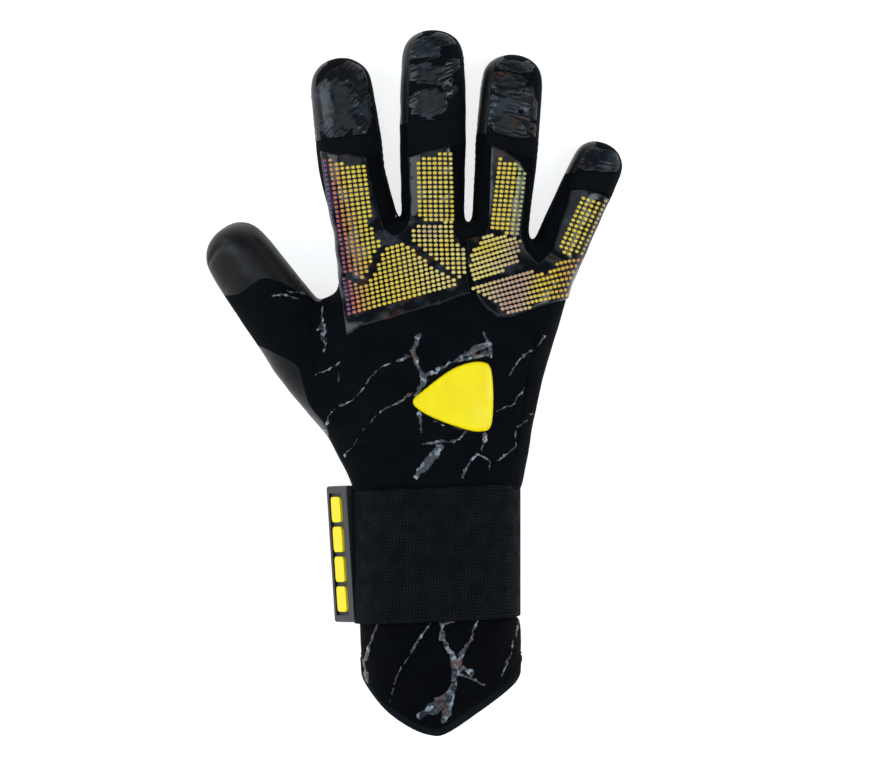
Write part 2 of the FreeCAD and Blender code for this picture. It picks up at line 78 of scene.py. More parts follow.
# base is where a digit starts, lean its angle in plan. Widths and depths are at the start, at the
# middle joint and at the tip. knuckle, middle and tip are distances along it. reach is half the
# stretch that bends at each joint, reach_across the half width of what belongs to the digit.
DIGITS = {
    "index": dict(base=(-22.6, 66.0), lean=-7.6, widths=(27.0, 26.8, 25.2), depths=(26.0, 24.0, 20.0),
                  root_bend=2.9, knuckle=12.0, middle=33.5, tip=70.5, reach=(9.5, 9.7), reach_across=15.6),
    "middle": dict(base=(8.2, 66.0), lean=0.0, widths=(25.4, 27.4, 25.2), depths=(27.0, 25.0, 20.5),
                   knuckle=12.5, middle=34.5, tip=82.0, reach=(9.5, 9.7), reach_across=15.6),
    "ring": dict(base=(36.6, 66.0), lean=4.5, widths=(23.6, 26.0, 24.6), depths=(26.0, 24.0, 20.0),
                 knuckle=12.0, middle=33.5, tip=72.0, reach=(9.5, 9.7), reach_across=15.2),
    "little": dict(base=(59.9, 53.7), lean=24.6, widths=(21.2, 21.4, 20.6), depths=(23.0, 21.0, 18.0),
                   knuckle=10.0, middle=31.5, tip=51.0, reach=(8.2, 9.5), reach_across=14.5),
    "thumb": dict(base=(-51.7, 23.2), lean=-37.5, widths=(31.0, 28.6, 25.0), depths=(26.0, 24.0, 21.0),
                  knuckle=8.5, middle=29.0, tip=50.0, reach=(8.0, 8.5), reach_across=20.0),
}
FINGERS = ("index", "middle", "ring", "little")

# The hand's cross-sections: (y, left, right, low, top)
HAND_SECTIONS = [
    (-58.0, -22.0, 41.0, 4.0, 42.0),
    (-48.0, -22.0, 41.0, 4.0, 42.0),
    (-44.6, -25.2, 44.6, 2.8, 43.4),
    (-39.5, -26.6, 45.8, 2.4, 43.6),
    (-20.0, -36.4, 49.2, -0.2, 43.0),
    (5.0, -38.0, 54.6, -0.2, 41.5),
    (28.0, -41.0, 61.6, -0.2, 38.5),
    (34.0, -40.0, 63.3, -0.2, 37.0),
    (37.2, -31.4, 64.3, -0.2, 36.2),
    (49.0, -31.0, 68.0, -0.2, 33.0),
    (58.0, -32.2, 49.0, -0.2, 30.5),
    (66.5, -32.4, 47.0, -0.2, 28.0),
]

# The ball of the thumb: (along the thumb, width, low, top, roll in degrees)
THUMB_BALL = [
    (-50.0, 26.0, 2.0, 34.0, 0.0),
    (-46.0, 30.0, 0.0, 36.0, 0.0),
    (-33.0, 31.0, 0.2, 35.0, 5.0),
    (-20.0, 32.0, 0.6, 33.0, 12.0),
    (-9.0, 32.0, 1.8, 31.0, 23.0),
]

# The wrist's section (left, right, low, top) and the cuff's: (y, left, right, low, top)
WRIST = (-22.0, 41.0, 4.0, 42.0)
CUFF_SECTIONS = [
    (-46.0,) + WRIST,
    (-95.0,) + WRIST,
    (-99.4, -22.4, 44.4, 2.8, 42.8),
    (-103.0, -22.2, 44.9, 2.4, 43.0),
    (-118.0, -21.8, 45.2, 1.6, 42.0),
    (-152.0, -20.0, 44.6, 1.0, 39.0),
]
# The cuff's lower edge, seen from above
HEM_EDGE = [(-42.0, -104.0), (-23.2, -114.5), (-20.6, -124.6), (-12.3, -135.9), (-2.6, -143.0),
            (6.3, -146.4), (13.2, -145.7), (27.0, -137.1), (39.4, -128.2), (44.0, -123.2),
            (46.5, -115.5), (66.0, -104.0)]
HEM_WIDTH = 3.6
HEM_MIDDLE = -125.0     # where along the cuff its width gives the hem's places
CUFF_WALL = 3.0
CUFF_TOP = -46.0
CUFF_WAVES = (-97.0, -104.0)    # the cuff is smooth above these, under the strap, and wavy below
LINING_TOP = 20.0       # how far the lining reaches into the hand

STRAP_TOP, STRAP_LOW = -43.5, -99.0
STRAP_INNER, STRAP_OUTER = 2.0, 3.8      # heights over the wrist
TAB_ROOT_ANGLE = 18.0   # degrees above the horizontal, round the wrist's thumb side
TAB_SLOPE, TAB_SLANT = 60.0, 3.6   # degrees down from the horizontal, and turned in plan
STRAP_START = 12.0      # height where the free band leaves the little-finger side
STRAP_SLANT, STRAP_CENTRE = 0.044, 11.0  # the edges rise towards the little finger, about a centre
BAND_EDGE = 5           # points round a band's edge
STITCH_INSET = 1.4      # from the strap's edge to its stitching
STITCH_LINE, STITCH_GAP = 38.9, 0.8      # two stitch lines across the strap, either side of a line
CROSS_INSET = 2.6       # from the strap's edge to the ends of those lines
STITCH_START, STITCH_END = 26.0, 3.0     # height, and degrees from the tab, where the edge's stitches end
HOOK_LAYER, LOOP_LAYER = (1.2, 2.05), (0.0, 1.0)     # heights over the wrist
PILE_START, PILE_END = 33.0, 30.0        # height and angle round the wrist where the piles end
PILE_EDGE, PILE_INSET = 8.0, 2.0         # the piles' edge across the glove, and inside the strap
SEWN_HALF = 0.8         # half the thickness of the strap's sewn part
SEWN_SHARES = (0.055, -0.53)             # where it starts and ends, in shares of the wrist's outline
NECK_REACH, NECK_THICK, NECK_GAP = 4.0, 1.0, 0.3   # the tongue that joins the tab to the strap
NECK_INSET, NECK_BEND = 1.2, (-1.2, 1.5)   # from the strap's edges, and where the tongue bends

# Where the latex starts along the thumb, by distance across it seen from above
THUMB_LATEX = [(-16.0, 29.0), (-12.9, 27.0), (-10.0, 23.9), (-3.0, 23.6), (4.0, 23.4), (9.1, 17.0),
               (13.5, 6.1), (17.0, 1.0)]
# The latex that shows on the outer side of the thumb's ball
THUMB_LENS = [(-74.0, 17.0), (-65.0, 15.4), (-56.0, 11.2), (-48.5, 6.8), (-46.2, 0.2), (-43.0, -9.9),
              (-35.6, -20.4), (-42.0, -30.0), (-80.0, 5.0)]
FOLDS = (15.0, 0.35, 6.0, 0.16)  # slow waves of the cloth: width and height, wide and narrow
# Seams that pull the fabric in: lines of points (x, y, half width)
SEAMS = [
    [(-47.7, 29.0, 0.7), (-47.4, 18.0, 0.8), (-47.0, 8.6, 0.7)],
    [(-23.7, -26.5, 0.6), (-12.0, -27.6, 0.7), (0.0, -26.7, 0.5)],
    [(-43.0, 27.0, 0.5), (-40.6, 14.0, 0.7), (-41.6, 2.0, 0.5)],
    [(52.0, 22.0, 0.5), (48.0, 6.0, 0.6), (45.0, -12.0, 0.5), (42.0, -30.0, 0.5)],
]

# Outlines on the back of the hand, seen from above
INNER_PAD = [(-38.9, 97.0), (-32.5, 96.0), (-25.8, 95.5), (-19.4, 94.3), (-18.6, 88.0), (-16.6, 79.6),
             (-13.6, 69.8), (-12.0, 64.2), (-8.0, 61.0), (-4.8, 62.5), (-2.6, 65.5), (-1.6, 69.8),
             (-1.5, 80.8), (-2.3, 94.3), (6.1, 96.8), (15.3, 99.3), (16.2, 94.3), (15.3, 66.1),
             (19.9, 57.8), (21.4, 50.6), (23.0, 42.2), (24.2, 36.6), (19.5, 35.5), (10.7, 32.1),
             (-5.7, 27.5), (-21.2, 23.3), (-25.0, 20.8), (-27.9, 19.5), (-30.6, 38.9)]
OUTER_PAD = [(22.0, 59.8), (29.6, 61.5), (31.3, 66.1), (31.7, 80.8), (32.5, 99.3), (38.9, 96.8),
             (44.3, 92.6), (46.6, 88.5), (46.6, 80.8), (45.1, 61.5), (47.4, 55.0), (52.0, 49.4),
             (57.8, 55.2), (61.5, 67.4), (66.1, 80.4), (71.2, 80.8), (77.1, 79.6), (84.5, 75.6),
             (72.6, 49.6), (64.9, 35.1), (53.1, 31.7), (40.9, 27.1), (35.1, 27.1), (29.6, 30.9),
             (26.2, 35.6), (25.2, 40.9), (22.4, 50.6)]
BADGE = [(-0.2, -8.0), (5.0, -13.0), (17.0, -18.0), (27.5, -20.4), (32.6, -16.5), (32.6, 4.0),
         (28.0, 8.6), (17.0, 6.0), (5.0, -2.6)]

# Fields of raised dots: outline, tilt of the rows and lean of the columns in degrees, a point of the
# lattice, pitch across and along as shares of DOT_PITCH, and the name of the field's tints
DOT_FIELDS = {
    "index_strip": dict(
        outline=[(-38.4, 93.4), (-32.6, 93.2), (-28.4, 91.6), (-20.0, 90.6), (-17.6, 69.5),
                 (-19.5, 66.6), (-15.6, 62.8), (-13.6, 57.4), (-16.6, 52.3), (-19.5, 43.4),
                 (-23.4, 43.4), (-28.8, 46.4), (-31.4, 49.4)],
        tilt=(4.0, 13.0), lean=8.0, origin=(-36.2, 90.8), pitch=(1.0, 1.0), edge="left"),
    "knuckle_index": dict(
        outline=[(-11.6, 56.9), (-4.8, 59.0), (0.4, 55.4), (7.3, 49.1), (13.2, 45.8), (18.9, 40.9),
                 (10.3, 37.6), (-5.7, 32.6), (-27.8, 26.2), (-29.6, 45.4), (-23.9, 41.6), (-20.8, 40.4),
                 (-19.1, 42.2), (-15.3, 46.8), (-14.0, 51.4)],
        tilt=(15.5, 15.5), lean=8.0, origin=(-6.4, 54.8), pitch=(1.0, 0.93), edge="left"),
    "middle_strip": dict(
        outline=[(0.4, 92.8), (7.0, 94.6), (10.4, 96.4), (17.2, 97.0), (16.4, 67.0), (8.6, 66.4),
                 (0.8, 68.3)],
        tilt=(0.0, 0.0), lean=1.6, origin=(2.4, 91.4), pitch=(1.0, 1.0), edge="pale"),
    "knuckle_middle": dict(
        outline=[(2.0, 65.4), (16.2, 67.0), (16.2, 60.6), (22.0, 56.0), (22.4, 46.4), (19.3, 42.2),
                 (-2.8, 59.9)],
        tilt=(-1.5, 1.5), lean=3.0, origin=(4.6, 62.8), pitch=(1.05, 0.98), edge="pink"),
    "ring_strip": dict(
        outline=[(34.9, 95.0), (38.4, 92.4), (43.0, 91.7), (47.6, 87.9), (44.9, 61.1), (38.0, 60.2),
                 (36.6, 63.6), (31.1, 64.2)],
        tilt=(-2.0, -2.0), lean=-7.0, origin=(36.2, 91.4), pitch=(0.96, 0.98), edge="teal"),
    "knuckle_ring": dict(
        outline=[(29.0, 60.4), (33.5, 61.6), (41.7, 60.9), (44.4, 58.6), (43.2, 48.4), (23.9, 41.0),
                 (23.6, 50.6), (25.4, 56.0)],
        tilt=(17.0, 17.0), lean=17.0, origin=(30.4, 56.4), pitch=(0.80, 0.98), edge="pink"),
    "knuckle_little": dict(
        outline=[(24.6, 38.9), (46.0, 46.9), (55.6, 45.0), (59.4, 51.2), (71.6, 52.9), (65.4, 36.0),
                 (52.6, 32.6), (40.9, 27.3)],
        tilt=(19.0, 12.0), lean=17.0, origin=(44.0, 38.2), pitch=(0.84, 1.0), edge="right"),
    "little_strip": dict(
        outline=[(68.4, 76.8), (72.0, 77.8), (79.0, 77.0), (82.2, 76.2), (72.2, 53.3), (64.4, 53.3),
                 (60.2, 55.4)],
        tilt=(-17.0, -17.0), lean=-24.6, origin=(69.0, 77.6), pitch=(0.98, 1.02), edge="cool"),
}

# Glossy printed veins: points (x, y, half width)
VEINS = [
    [(-37.6, 31.3, 0.5), (-38.4, 26.2, 0.9), (-37.2, 21.2, 1.3), (-37.6, 12.8, 0.4)],
    [(-37.2, 23.7, 1.0), (-40.1, 21.6, 0.6)],
    [(-43.0, 3.6, 0.2), (-35.9, 4.8, 0.5), (-29.2, 9.4, 0.4)],
    [(-31.7, 4.8, 0.25), (-30.9, 0.2, 0.2)],
    [(-1.1, 11.1, 0.7), (-8.2, 8.2, 0.5), (-15.8, 4.8, 0.35), (-22.9, -5.2, 0.3), (-30.9, -9.9, 0.3),
     (-35.5, -14.5, 0.5), (-37.2, -19.5, 0.6)],
    [(-0.2, -4.0, 0.7), (-7.3, -9.0, 0.6), (-13.7, -12.8, 0.35), (-19.9, -18.3, 0.3),
     (-25.8, -27.1, 0.4), (-28.8, -30.9, 0.5)],
    [(1.9, 19.5, 0.8), (0.2, 13.7, 1.5), (2.3, 6.1, 1.1), (4.4, 0.2, 1.5), (1.1, -5.2, 1.2)],
    [(4.4, 1.9, 0.9), (11.1, 5.7, 0.8), (19.1, 10.3, 0.9), (25.4, 13.2, 1.8), (31.7, 16.2, 1.4)],
    [(19.0, 9.0, 0.5), (26.0, 10.6, 1.4), (31.3, 12.0, 1.6)],
    [(29.2, 20.4, 0.7), (31.7, 16.2, 1.2), (32.5, 11.1, 0.8)],
    [(30.9, 1.9, 0.6), (30.0, -5.7, 0.8), (28.8, -13.2, 0.7)],
    [(2.3, -12.8, 1.2), (3.1, -20.4, 0.7)],
    [(9.0, -15.6, 0.5), (16.0, -18.6, 0.5), (22.1, -20.4, 0.5), (17.8, -23.8, 0.7), (4.0, -25.6, 0.6)],
    [(11.5, -26.4, 1.6), (6.9, -32.0, 2.6), (1.1, -38.6, 1.4)],
    [(26.2, -29.2, 0.6), (22.9, -33.8, 0.6), (19.9, -39.3, 0.5)],
    [(25.6, -29.4, 0.5), (29.0, -30.4, 0.5), (31.7, -33.4, 0.5), (31.3, -38.4, 0.3)],
    [(29.6, -20.4, 0.7), (30.4, -24.1, 0.8), (27.9, -27.5, 0.4)],
    [(55.2, 18.7, 0.4), (49.8, 13.2, 0.4), (44.7, 10.3, 0.6), (40.1, 3.6, 0.5)],
    [(45.6, -2.3, 0.4), (42.2, -8.2, 0.5), (34.6, -12.0, 0.4)],
    [(49.4, -13.2, 0.3), (43.0, -19.1, 0.3), (42.2, -26.7, 0.35), (35.1, -32.5, 0.4)],
    [(-48.5, 35.0, 0.3), (-54.5, 36.6, 0.8), (-59.0, 36.2, 0.3)],
    [(-46.0, 36.8, 0.6), (-52.0, 38.6, 0.4)],
]
CUFF_VEINS = [
    [(10.6, -97.0, 1.0), (12.4, -106.5, 1.1), (16.2, -112.3, 1.2), (17.4, -119.9, 1.4), (16.2, -127.5, 1.6),
     (14.5, -134.3, 2.5), (12.6, -141.1, 1.4)],
    [(15.4, -128.8, 1.6), (9.4, -134.2, 2.8), (2.7, -139.2, 1.2)],
    [(26.6, -98.0, 0.6), (24.1, -106.5, 0.8), (19.9, -112.8, 1.2), (18.3, -116.9, 1.4)],
    [(17.8, -120.4, 0.9), (23.7, -122.4, 0.6), (29.6, -124.9, 0.5)],
    [(18.0, -117.6, 1.0), (23.7, -119.9, 1.3)],
    [(9.0, -97.0, 0.5), (1.9, -106.5, 0.7), (-2.3, -114.5, 0.45), (-7.3, -123.3, 0.4), (-9.9, -132.9, 0.4)],
    [(-14.4, -99.0, 0.5), (-18.6, -110.7, 0.7), (-20.6, -117.4, 0.9), (-19.0, -126.9, 0.5)],
    [(43.4, -99.5, 0.4), (40.1, -114.9, 0.35), (36.3, -122.4, 0.4)],
    [(10.9, -100.0, 0.7), (16.4, -98.6, 0.7)],
]

# Fingertip caps: low is where a cap starts; the margins are to the silhouette at left and right.
# tilt is the slope of the lower edge, grain the direction of the print's streaks in degrees.
# gloss lists the print's smooth islands: centre across and along, half width and half length.
CAPS = {
    "index": dict(low=37.2, tilt=-0.015, left=2.0, right=1.2, grain=42.0, seed=3, pad_top=(29.3, -0.12),
                  gloss=[(-3.8, 50.0, 8.2, 12.5), (2.0, 63.0, 7.0, 3.6), (7.6, 54.0, 3.4, 8.5),
                         (6.0, 43.0, 4.0, 5.0)]),
    "middle": dict(low=43.8, tilt=0.11, left=3.0, right=1.8, grain=24.0, seed=11, pad_top=(30.9, 0.21),
                   gloss=[(-4.5, 73.5, 6.5, 3.6), (2.5, 78.0, 6.0, 2.2), (-2.0, 63.0, 8.0, 3.8),
                          (-1.5, 50.5, 7.6, 6.0), (8.5, 67.0, 3.2, 2.2), (6.8, 56.5, 2.4, 3.4)]),
    "ring": dict(low=36.9, tilt=-0.056, left=3.8, right=1.4, grain=-12.0, seed=23, pad_top=(30.6, -0.22),
                 gloss=[(0.0, 67.0, 7.5, 2.6), (-2.0, 59.5, 7.0, 4.4), (-2.0, 50.5, 7.0, 3.6),
                        (0.5, 42.0, 9.5, 4.4), (7.6, 52.0, 2.6, 4.6)]),
    "little": dict(low=37.7, tilt=0.486, left=3.4, right=1.4, grain=16.0, seed=31, pad_top=(29.3, 0.317),
                   gloss=[(-1.0, 45.5, 6.6, 2.6), (1.5, 42.0, 6.0, 2.2), (-4.0, 40.0, 3.4, 3.0),
                          (5.0, 44.6, 3.4, 1.8)]),
}

# The colours of the dots: yellow and pale are their own; the others paint an iridescent sheen, by place
TINTS = {
    "yellow": (0.80, 0.60, 0.05), "pale": (0.78, 0.66, 0.20), "orange": (0.66, 0.27, 0.06),
    "pink": (0.45, 0.07, 0.14), "purple": (0.07, 0.03, 0.20), "lilac": (0.56, 0.36, 0.26),
    "gold": (0.70, 0.42, 0.02), "teal": (0.42, 0.46, 0.20), "red": (0.60, 0.09, 0.02),
}

# The stage, in metres
FLOOR_REACH = 4.0
CAMERA_PLACE = (0.00903, -0.00063, 2.044)
# Place, size, power in watts and colour
SOFTBOXES = {
    "softbox_top": ((0.0, 0.1, 1.7), (1.3, 1.3), 7.4, (0.80, 0.92, 1.0)),
    "softbox_left": ((-1.05, 0.25, 0.95), (0.5, 1.0), 8.5, (0.82, 0.93, 1.0)),
    "softbox_right": ((0.95, 0.1, 1.15), (0.32, 0.9), 8.0, (0.86, 0.95, 1.0)),
    "softbox_low": ((-0.25, -1.0, 0.95), (0.8, 0.3), 5.0, (1.0, 0.97, 0.94)),
}


# ---------------------------------------------------------------- numbers
def lattice(cells, seed):
    """A fixed value from 0 to 1 for each cell of a lattice."""
    mixed = np.sin(cells @ np.array([12.9898, 78.233, 37.719]) + 3.1 * seed) * 43758.5453
    return mixed - np.floor(mixed)


def noise(points, size, seed=0):
    """Smooth noise from -1 to 1 whose bumps are size millimetres wide."""
    p = np.asarray(points, float) / size
    cell = np.floor(p)
    t = p - cell
    t = t * t * (3.0 - 2.0 * t)
    total = np.zeros(len(p))
    for corner in np.ndindex(2, 2, 2):
        c = np.array(corner)
        weight = np.prod(np.where(c == 1, t, 1.0 - t), axis=1)
        total += weight * lattice(cell + c, seed)
    return 2.0 * total - 1.0


def rough_noise(points, size, seed):
    """Noise with two finer layers of noise over it."""
    return sum(noise(points, size / 2 ** i, seed + i) * 0.5 ** i for i in range(3)) / 1.75


def smooth_step(low, high, value):
    """0 up to low, 1 from high on, and a soft rise between."""
    t = np.clip((value - low) / (high - low), 0.0, 1.0)
    return t * t * (3.0 - 2.0 * t)


def unit(vectors):
    """Vectors scaled to a length of 1."""
    return vectors / np.maximum(np.linalg.norm(vectors, axis=-1, keepdims=True), 1e-12)


def directions(line):
    """The direction of a line at each of its points."""
    return unit(np.gradient(line, axis=0))


def rotation(axis, degrees):
    """A turn about the vertical axis z, or about y."""
    c, s = math.cos(math.radians(degrees)), math.sin(math.radians(degrees))
    if axis == "z":
        return np.array([[c, -s, 0], [s, c, 0], [0, 0, 1.0]])
    return np.array([[c, 0, s], [0, 1.0, 0], [-s, 0, c]])


# ---------------------------------------------------------------- digits' frames
def turn_of(name):
    """A digit's turn: its lean in plan, and the thumb's roll."""
    turn = rotation("z", -DIGITS[name]["lean"])
    if name == "thumb":
        turn = turn @ rotation("y", -THUMB_ROLL)
    return turn


def origin_of(name):
    """The start of a digit's own frame."""
    return np.array([*DIGITS[name]["base"], THUMB_HEIGHT if name == "thumb" else 0.0])


def local(name, points):
    """Points in a digit's own frame: across, along from the web, up."""
    return (points - origin_of(name)) @ turn_of(name)


def floor_of(name):
    """The underside's height in a digit's own frame."""
    return -0.5 * DIGITS[name]["depths"][0] if name == "thumb" else FINGER_FLOOR


def size_at(name, triple, s):
    """A digit's width or depth at a distance along it."""
    d = DIGITS[name]
    return np.interp(s, (0.0, d["middle"], d["tip"]), d[triple])


def slab(name, number):
    """The stretch of a digit over which its skin bends at a joint."""
    middle = DIGITS[name][("knuckle", "middle")[number]]
    reach = DIGITS[name]["reach"][number]
    return middle - reach, middle + reach


def split_at(name):
    """Where the digit's lower piece starts, and where the upper one does."""
    return slab(name, 0)[0], 0.5 * (slab(name, 0)[1] + slab(name, 1)[0])


# ---------------------------------------------------------------- the skin
def ring(centre, across, up, half_width, half_height, top=2.5, low=2.5, count=64):
    """A rounded section: powers above 2 make its top and its underside flatter."""
    angles = np.linspace(0.0, 2.0 * math.pi, count, endpoint=False)
    c, s = np.cos(angles), np.sin(angles)
    power = np.where(s > 0, top, low)
    x = np.sign(c) * np.abs(c) ** (2.0 / power) * half_width
    z = np.sign(s) * np.abs(s) ** (2.0 / power) * half_height
    return np.asarray(centre) + np.outer(x, across) + np.outer(z, up)


def tube(rings):
    """Vertices and faces of a closed tube through rings."""
    count = len(rings[0])
    ends = [rings[0].mean(axis=0), rings[-1].mean(axis=0)]
    verts = np.vstack(rings + [np.array(ends)])
    faces = []
    for r in range(len(rings) - 1):
        for i in range(count):
            a, b = r * count + i, r * count + (i + 1) % count
            faces.append((a, b, b + count, a + count))
    first, last = len(verts) - 2, len(verts) - 1
    top = (len(rings) - 1) * count
    for i in range(count):
        j = (i + 1) % count
        faces.append((j, i, first))
        faces.append((top + i, top + j, last))
    return verts, faces


def section_at(rows, y):
    """Left, right, low and top between the rows of a table of sections."""
    order = np.argsort(rows[:, 0])
    return tuple(np.interp(y, rows[order, 0], rows[order, k]) for k in (1, 2, 3, 4))


def hand_tube():
    """The hand from the wrist to the webs."""
    rows = np.array(HAND_SECTIONS)
    rings = []
    for y in np.arange(rows[0, 0], rows[-1, 0] + 0.1, 1.5):
        left, right, low, top = section_at(rows, y)
        centre = (0.5 * (left + right), y, 0.5 * (low + top))
        half_width, half_height = 0.5 * (right - left), 0.5 * (top - low)
        rings.append(ring(centre, (1, 0, 0), (0, 0, 1), half_width, half_height, 2.6, 3.4))
    return tube(rings)


def digit_rings(name, start):
    """Sections of a digit from a distance along it to its rounded tip."""
    d = DIGITS[name]
    turn, origin = turn_of(name), origin_of(name)
    dome = 0.5 * d["widths"][2]
    stations = list(np.arange(start, d["tip"] - dome, 2.0)) + [d["tip"] - dome]
    found = [(s, 1.0) for s in stations]
    for t in np.sin(np.radians(np.arange(8.0, 90.0, 8.0))):
        found.append((d["tip"] - dome * (1.0 - t), (1.0 - t ** 2.3) ** (1 / 2.3)))
    rings = []
    for s, shrink in found:
        width, depth = size_at(name, "widths", s), size_at(name, "depths", s)
        middle = floor_of(name) + 0.5 * depth
        bend = d.get("root_bend", 0.0) * max(0.0, 1.0 - s / 24.0) ** 1.6
        centre = origin + turn @ np.array([bend, s, middle])
        rings.append(ring(centre, turn[:, 0], turn[:, 2], 0.5 * width * shrink,
                          0.5 * depth * (0.3 + 0.7 * shrink), 2.5, 2.9))
    return rings


def thumb_root_rings():
    """The ball of the thumb, from inside the hand to the thumb's own section."""
    d = DIGITS["thumb"]
    straight = rotation("z", -d["lean"])
    rings = []
    for s, width, low, top, roll in THUMB_BALL:
        turn = straight @ rotation("y", -roll)
        centre = np.array([*d["base"], 0.5 * (low + top)]) + straight @ np.array([0.0, s, 0.0])
        rings.append(ring(centre, turn[:, 0], turn[:, 2], 0.5 * width, 0.5 * (top - low), 2.5, 2.8))
    return rings


def remeshed(parts, voxel):
    """One closed surface round several closed parts: its vertices and triangles."""
    verts, faces, offset = [], [], 0
    for part_verts, part_faces in parts:
        verts.append(part_verts)
        faces.extend(tuple(i + offset for i in f) for f in part_faces)
        offset += len(part_verts)
    mesh = bpy.data.meshes.new("blank")
    mesh.from_pydata([tuple(v) for v in np.vstack(verts) * MM], [], faces)
    obj = bpy.data.objects.new("blank", mesh)
    bpy.context.collection.objects.link(obj)
    remesh = obj.modifiers.new("remesh", "REMESH")
    remesh.mode = "VOXEL"
    remesh.voxel_size = voxel * MM
    made = bpy.data.meshes.new_from_object(obj.evaluated_get(bpy.context.evaluated_depsgraph_get()))
    points = np.empty(len(made.vertices) * 3)
    made.vertices.foreach_get("co", points)
    made.calc_loop_triangles()
    triangles = np.empty(len(made.loop_triangles) * 3, dtype=np.int64)
    made.loop_triangles.foreach_get("vertices", triangles)
    bpy.data.objects.remove(obj)
    return points.reshape(-1, 3) / MM, triangles.reshape(-1, 3)


def edges_of(triangles):
    """Each edge of a set of triangles once."""
    pairs = np.vstack([triangles[:, [0, 1]], triangles[:, [1, 2]], triangles[:, [2, 0]]])
    return np.unique(np.sort(pairs, axis=1), axis=0)


def relaxed(points, triangles, rounds, share=0.5):
    """Points moved towards the mean of their neighbours."""
    edges = edges_of(triangles)
    count = len(points)
    degree = np.bincount(edges.ravel(), minlength=count).astype(float)
    points = points.copy()
    for _ in range(rounds):
        total = np.empty_like(points)
        for k in range(points.shape[1]):
            column = points[:, k]
            total[:, k] = (np.bincount(edges[:, 0], column[edges[:, 1]], count)
                           + np.bincount(edges[:, 1], column[edges[:, 0]], count))
        points += share * (total / np.maximum(degree, 1.0)[:, None] - points)
    return points


def normals_of(points, triangles):
    """The surface's normal at each point."""
    a, b, c = (points[triangles[:, k]] for k in range(3))
    face = np.cross(b - a, c - a)
    total = np.zeros_like(points)
    for k in range(3):
        for axis in range(3):
            total[:, axis] += np.bincount(triangles[:, k], face[:, axis], len(points))
    return unit(total)


# A sheet is (rows, triangles). Each row is a point, its normal and its place on the skin.
POINT, NORMAL, REST = slice(0, 3), slice(3, 6), slice(6, 9)


def new_sheet(points, triangles):
    """A sheet whose place on the skin is its own."""
    rows = np.zeros((len(points), 9))
    rows[:, POINT] = points
    rows[:, NORMAL] = normals_of(points, triangles)
    rows[:, REST] = points
    return rows, triangles


def compact(rows, triangles):
    """Only the rows that the triangles use."""
    used, inverse = np.unique(triangles, return_inverse=True)
    return rows[used], inverse.reshape(-1, 3)


def cut(sheet, field):
    """The part of a sheet where field is above 0, with new vertices on the line where it is 0."""
    rows, triangles = sheet
    if len(triangles) == 0:
        return sheet
    field = np.where(np.abs(field) < 1e-6, 1e-6, field)
    above = field > 0
    count = above[triangles].sum(axis=1)
    kept = [triangles[count == 3]]
    edges = edges_of(triangles[(count == 1) | (count == 2)])
    edges = edges[above[edges[:, 0]] != above[edges[:, 1]]]
    t = field[edges[:, 0]] / (field[edges[:, 0]] - field[edges[:, 1]])
    new = rows[edges[:, 0]] + t[:, None] * (rows[edges[:, 1]] - rows[edges[:, 0]])
    keys = edges[:, 0] * len(rows) + edges[:, 1]
    order = np.argsort(keys)

    def between(a, b):
        low, high = np.minimum(a, b), np.maximum(a, b)
        return len(rows) + order[np.searchsorted(keys, low * len(rows) + high, sorter=order)]

    for inside in (1, 2):
        some = triangles[count == inside]
        odd = above[some] if inside == 1 else ~above[some]
        first = np.argmax(odd, axis=1)
        lines = np.arange(len(some))
        a, b, c = (some[lines, (first + k) % 3] for k in range(3))
        ab, ca = between(a, b), between(c, a)
        if inside == 1:
            kept.append(np.stack([a, ab, ca], axis=1))
        else:
            kept.append(np.stack([ab, b, c], axis=1))
            kept.append(np.stack([ab, c, ca], axis=1))
    return compact(np.vstack([rows, new]), np.vstack(kept))


def refined(sheet, wanted):
    """Each wanted triangle becomes four, its new points bulged out to follow the normals."""
    rows, triangles = sheet
    rows, triangles = compact(rows, triangles[wanted])
    edges = edges_of(triangles)
    a, b = rows[edges[:, 0]], rows[edges[:, 1]]
    new = 0.5 * (a + b)
    bulge = 0.0
    for end in (a, b):
        normal = end[:, NORMAL]
        height = np.einsum("ij,ij->i", new[:, POINT] - end[:, POINT], normal)
        bulge = bulge - 0.5 * height[:, None] * normal
    new[:, POINT] += 0.75 * bulge
    new[:, NORMAL] = unit(new[:, NORMAL])
    keys = edges[:, 0] * len(rows) + edges[:, 1]

    def middle(p, q):
        low, high = np.minimum(p, q), np.maximum(p, q)
        return len(rows) + np.searchsorted(keys, low * len(rows) + high)

    p, q, r = triangles.T
    pq, qr, rp = middle(p, q), middle(q, r), middle(r, p)
    quarters = ((p, pq, rp), (pq, q, qr), (rp, qr, r), (pq, qr, rp))
    return np.vstack([rows, new]), np.vstack([np.stack(t, axis=1) for t in quarters])


def from_segment(points, ax, ay, bx, by):
    """The nearest place on a line seen from above, as a share of its length, and how far it is."""
    x, y = points[:, 0], points[:, 1]
    dx, dy = bx - ax, by - ay
    t = np.clip(((x - ax) * dx + (y - ay) * dy) / (dx * dx + dy * dy), 0.0, 1.0)
    return t, np.hypot(x - ax - t * dx, y - ay - t * dy)


def outline_field(outline, points):
    """Distance inside a closed outline seen from above: positive inside, negative outside."""
    shape = np.asarray(outline, float)
    ends = np.roll(shape, -1, axis=0)
    x, y = points[:, 0], points[:, 1]
    nearest = np.full(len(points), 1e9)
    inside = np.zeros(len(points), bool)
    for (ax, ay), (bx, by) in zip(shape, ends):
        _, distance = from_segment(points, ax, ay, bx, by)
        nearest = np.minimum(nearest, distance)
        if abs(by - ay) > 1e-9:
            crosses = (ay > y) != (by > y)
            inside ^= crosses & (x < ax + (y - ay) * (bx - ax) / (by - ay))
    return np.where(inside, nearest, -nearest)


